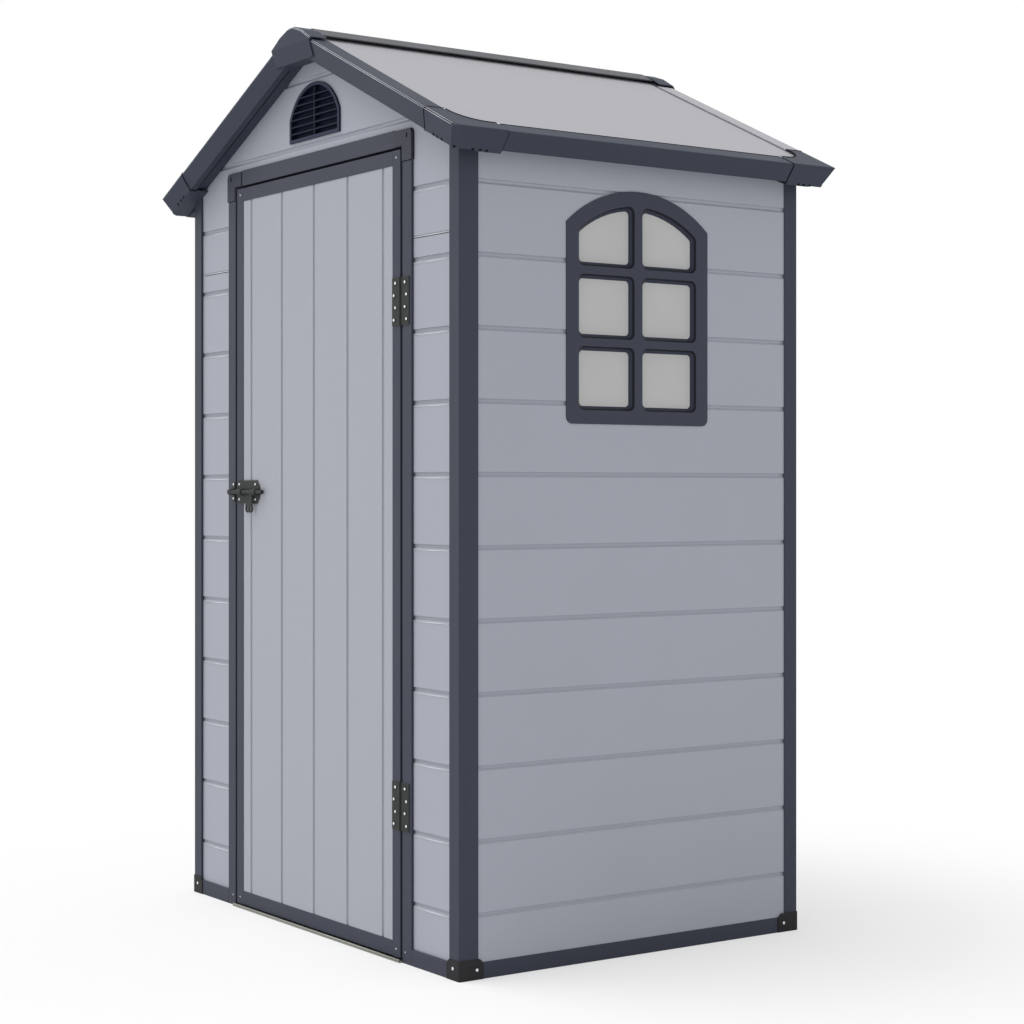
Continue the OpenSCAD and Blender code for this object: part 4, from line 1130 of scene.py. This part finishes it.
    def plugs(self) -> None:
        """Dark plugs along the lower edges of the corner caps."""
        plug = Plug(3.0, 0.7, 2.3, 1.1, foot=-0.1).shape()
        drop = self.front_plug_drop
        y = self.verge_y - self.verge_lean * drop / self.verge_h
        normal = self.way(unit((0.0, self.verge_h, -self.verge_lean)))
        places = self.on_slope(self.down(np.array(self.front_plug_x)), y, -drop)
        front = repeat(plug, places + normal * self.cap_proud, basis(normal))
        drop = self.side_plug_drop
        x = self.roof_half - self.fascia_lean * drop / self.fascia_h
        normal = unit((self.fascia_h, 0, -self.fascia_lean))
        places = np.array([(x, y, self.eave_z - drop) for y in self.side_plug_y])
        side = repeat(plug, places + normal * self.cap_proud, basis(normal))
        corner = repeat(plug, [self.corner_plug], basis(self.corner_plug_out))
        make_piece("cap_plugs", mirrored(join([front, side, corner]), 0, 1), SEAL_AND_SHADE, "root")

    def screws(self) -> None:
        """Bright screws through the corner caps' flanges."""
        places = self.on_slope(self.down(np.array(self.screw_x)), np.array(self.screw_y), self.cap_proud)
        heads = repeat(ScrewHead(2.6, 1.0).shape(), places, basis(self.way(UP), ALONG))
        make_piece("cap_screws", mirrored(heads, 0, 1), ZINC, "root")


# ---- Studio ----

@dataclass(frozen=True)
class Lamp:
    """A broad, far soft light: where it comes from, its spread in degrees and its strength."""

    name: str
    source: Vec
    spread: float
    strength: float

    def build(self) -> None:
        """Hangs the lamp so that it shines from its source towards the origin."""
        light = bpy.data.lights.new(self.name, "SUN")
        light.angle = math.radians(self.spread)
        light.energy = self.strength
        lamp = bpy.data.objects.new(self.name, light)
        lamp.rotation_euler = turn_angles(basis(self.source).T)
        bpy.context.scene.collection.objects.link(lamp)


def turn_angles(m: Array) -> tuple[float, float, float]:
    """XYZ Euler angles of a rotation whose columns are the turned axes."""
    return math.atan2(m[2, 1], m[2, 2]), -math.asin(m[2, 0]), math.atan2(m[1, 0], m[0, 0])


@dataclass(frozen=True)
class Studio:
    """Pale floor, white surroundings, two lamps and the camera; lengths in metres."""

    lamps: tuple[Lamp, ...] = (Lamp("high_light", (-0.28, -0.28, 0.918), 40.0, 1.56),
                               Lamp("left_light", (-0.9, -0.42, 0.08), 40.0, 0.2))
    sky: float = 0.73
    floor_radius: float = 9.0
    floor_points: int = 96
    floor_albedo: float = 0.86
    floor_glow: float = 0.5
    floor_fade: tuple[float, float] = (1.1, 2.6)
    camera_place: Vec = (4.23195, -2.84445, 1.00059)
    camera_turn: float = 55.29
    camera_lens: float = 75.37
    camera_sensor: float = 36.0
    camera_shift: float = -0.0227
    camera_reach: float = 60.0

    def build(self) -> None:
        """Sets up the whole studio."""
        bpy.context.scene.view_settings.view_transform = "Standard"
        self.surroundings()
        self.floor()
        for lamp in self.lamps:
            lamp.build()
        self.camera()

    def surroundings(self) -> None:
        """A plain sky, which is pure white where it is seen, mirrored or looked through to."""
        world = bpy.data.worlds.new("white_surroundings")
        tree = blank_tree(world)
        ray = add_node(tree, "ShaderNodeLightPath")
        seen = add_node(tree, "ShaderNodeMath", {
            0: ray.outputs["Is Camera Ray"], 1: ray.outputs["Is Glossy Ray"]}, operation="MAXIMUM")
        shown = add_node(tree, "ShaderNodeMath", {
            0: seen.outputs[0], 1: ray.outputs["Is Transmission Ray"]}, operation="MAXIMUM")
        strength = add_node(tree, "ShaderNodeMix", {
            0: shown.outputs[0], 2: self.sky, 3: 1.0}, data_type="FLOAT")
        sky = add_node(tree, "ShaderNodeBackground", {
            "Color": (1, 1, 1, 1), "Strength": strength.outputs[0]})
        add_node(tree, "ShaderNodeOutputWorld", {"Surface": sky.outputs[0]})
        bpy.context.scene.world = world

    def floor_material(self) -> bpy.types.Material:
        """Matt and pale near the shed, and fading to the white of the surroundings."""
        made = bpy.data.materials.new("pale_floor")
        tree = blank_tree(made)
        place = add_node(tree, "ShaderNodeTexCoord").outputs["Object"]
        away = add_node(tree, "ShaderNodeVectorMath", {0: place}, operation="LENGTH")
        near, far = self.floor_fade
        fade = add_node(tree, "ShaderNodeMapRange", {
            "Value": away.outputs["Value"], "From Min": near, "From Max": far, "To Min": self.floor_glow})
        ray = add_node(tree, "ShaderNodeLightPath")
        amount = add_node(tree, "ShaderNodeMath", {
            0: fade.outputs[0], 1: ray.outputs["Is Camera Ray"]}, operation="MULTIPLY")
        matt = add_node(tree, "ShaderNodeBsdfDiffuse", {"Color": (*[self.floor_albedo] * 3, 1)})
        white = add_node(tree, "ShaderNodeEmission", {"Color": (1, 1, 1, 1), "Strength": 1.0})
        both = add_node(tree, "ShaderNodeMixShader", {
            0: amount.outputs[0], 1: matt.outputs[0], 2: white.outputs[0]})
        add_node(tree, "ShaderNodeOutputMaterial", {"Surface": both.outputs[0]})
        return made

    def floor(self) -> None:
        """A round floor: a point of its rim is (radius cos t, radius sin t)."""
        t = np.arange(self.floor_points) * 2 * math.pi / self.floor_points
        rim = self.floor_radius * np.stack([np.cos(t), np.sin(t), np.zeros(len(t))], 1)
        mesh = bpy.data.meshes.new("studio_floor")
        mesh.from_pydata(rim.tolist(), [], [tuple(range(len(t)))])
        mesh.materials.append(self.floor_material())
        floor = bpy.data.objects.new("studio_floor", mesh)
        bpy.context.scene.collection.objects.link(floor)

    def camera(self) -> None:
        """A level camera at the door's right."""
        lens = bpy.data.cameras.new("view")
        lens.lens = self.camera_lens
        lens.sensor_width = self.camera_sensor
        lens.shift_y = self.camera_shift
        lens.clip_end = self.camera_reach
        view = bpy.data.objects.new("view", lens)
        view.location = self.camera_place
        view.rotation_euler = (math.radians(90), 0, math.radians(self.camera_turn))
        bpy.context.scene.collection.objects.link(view)
        bpy.context.scene.camera = view


def main() -> None:
    """Builds the studio and the shed's looks in order."""
    logging.basicConfig(level=logging.INFO, format="%(name)s: %(message)s")
    for part in (Studio(), Shell(), Doorway(), Door(), Openings(), Roof()):
        part.build()
        LOG.info("built %s", type(part).__name__)


if __name__ == "__main__":
    main()
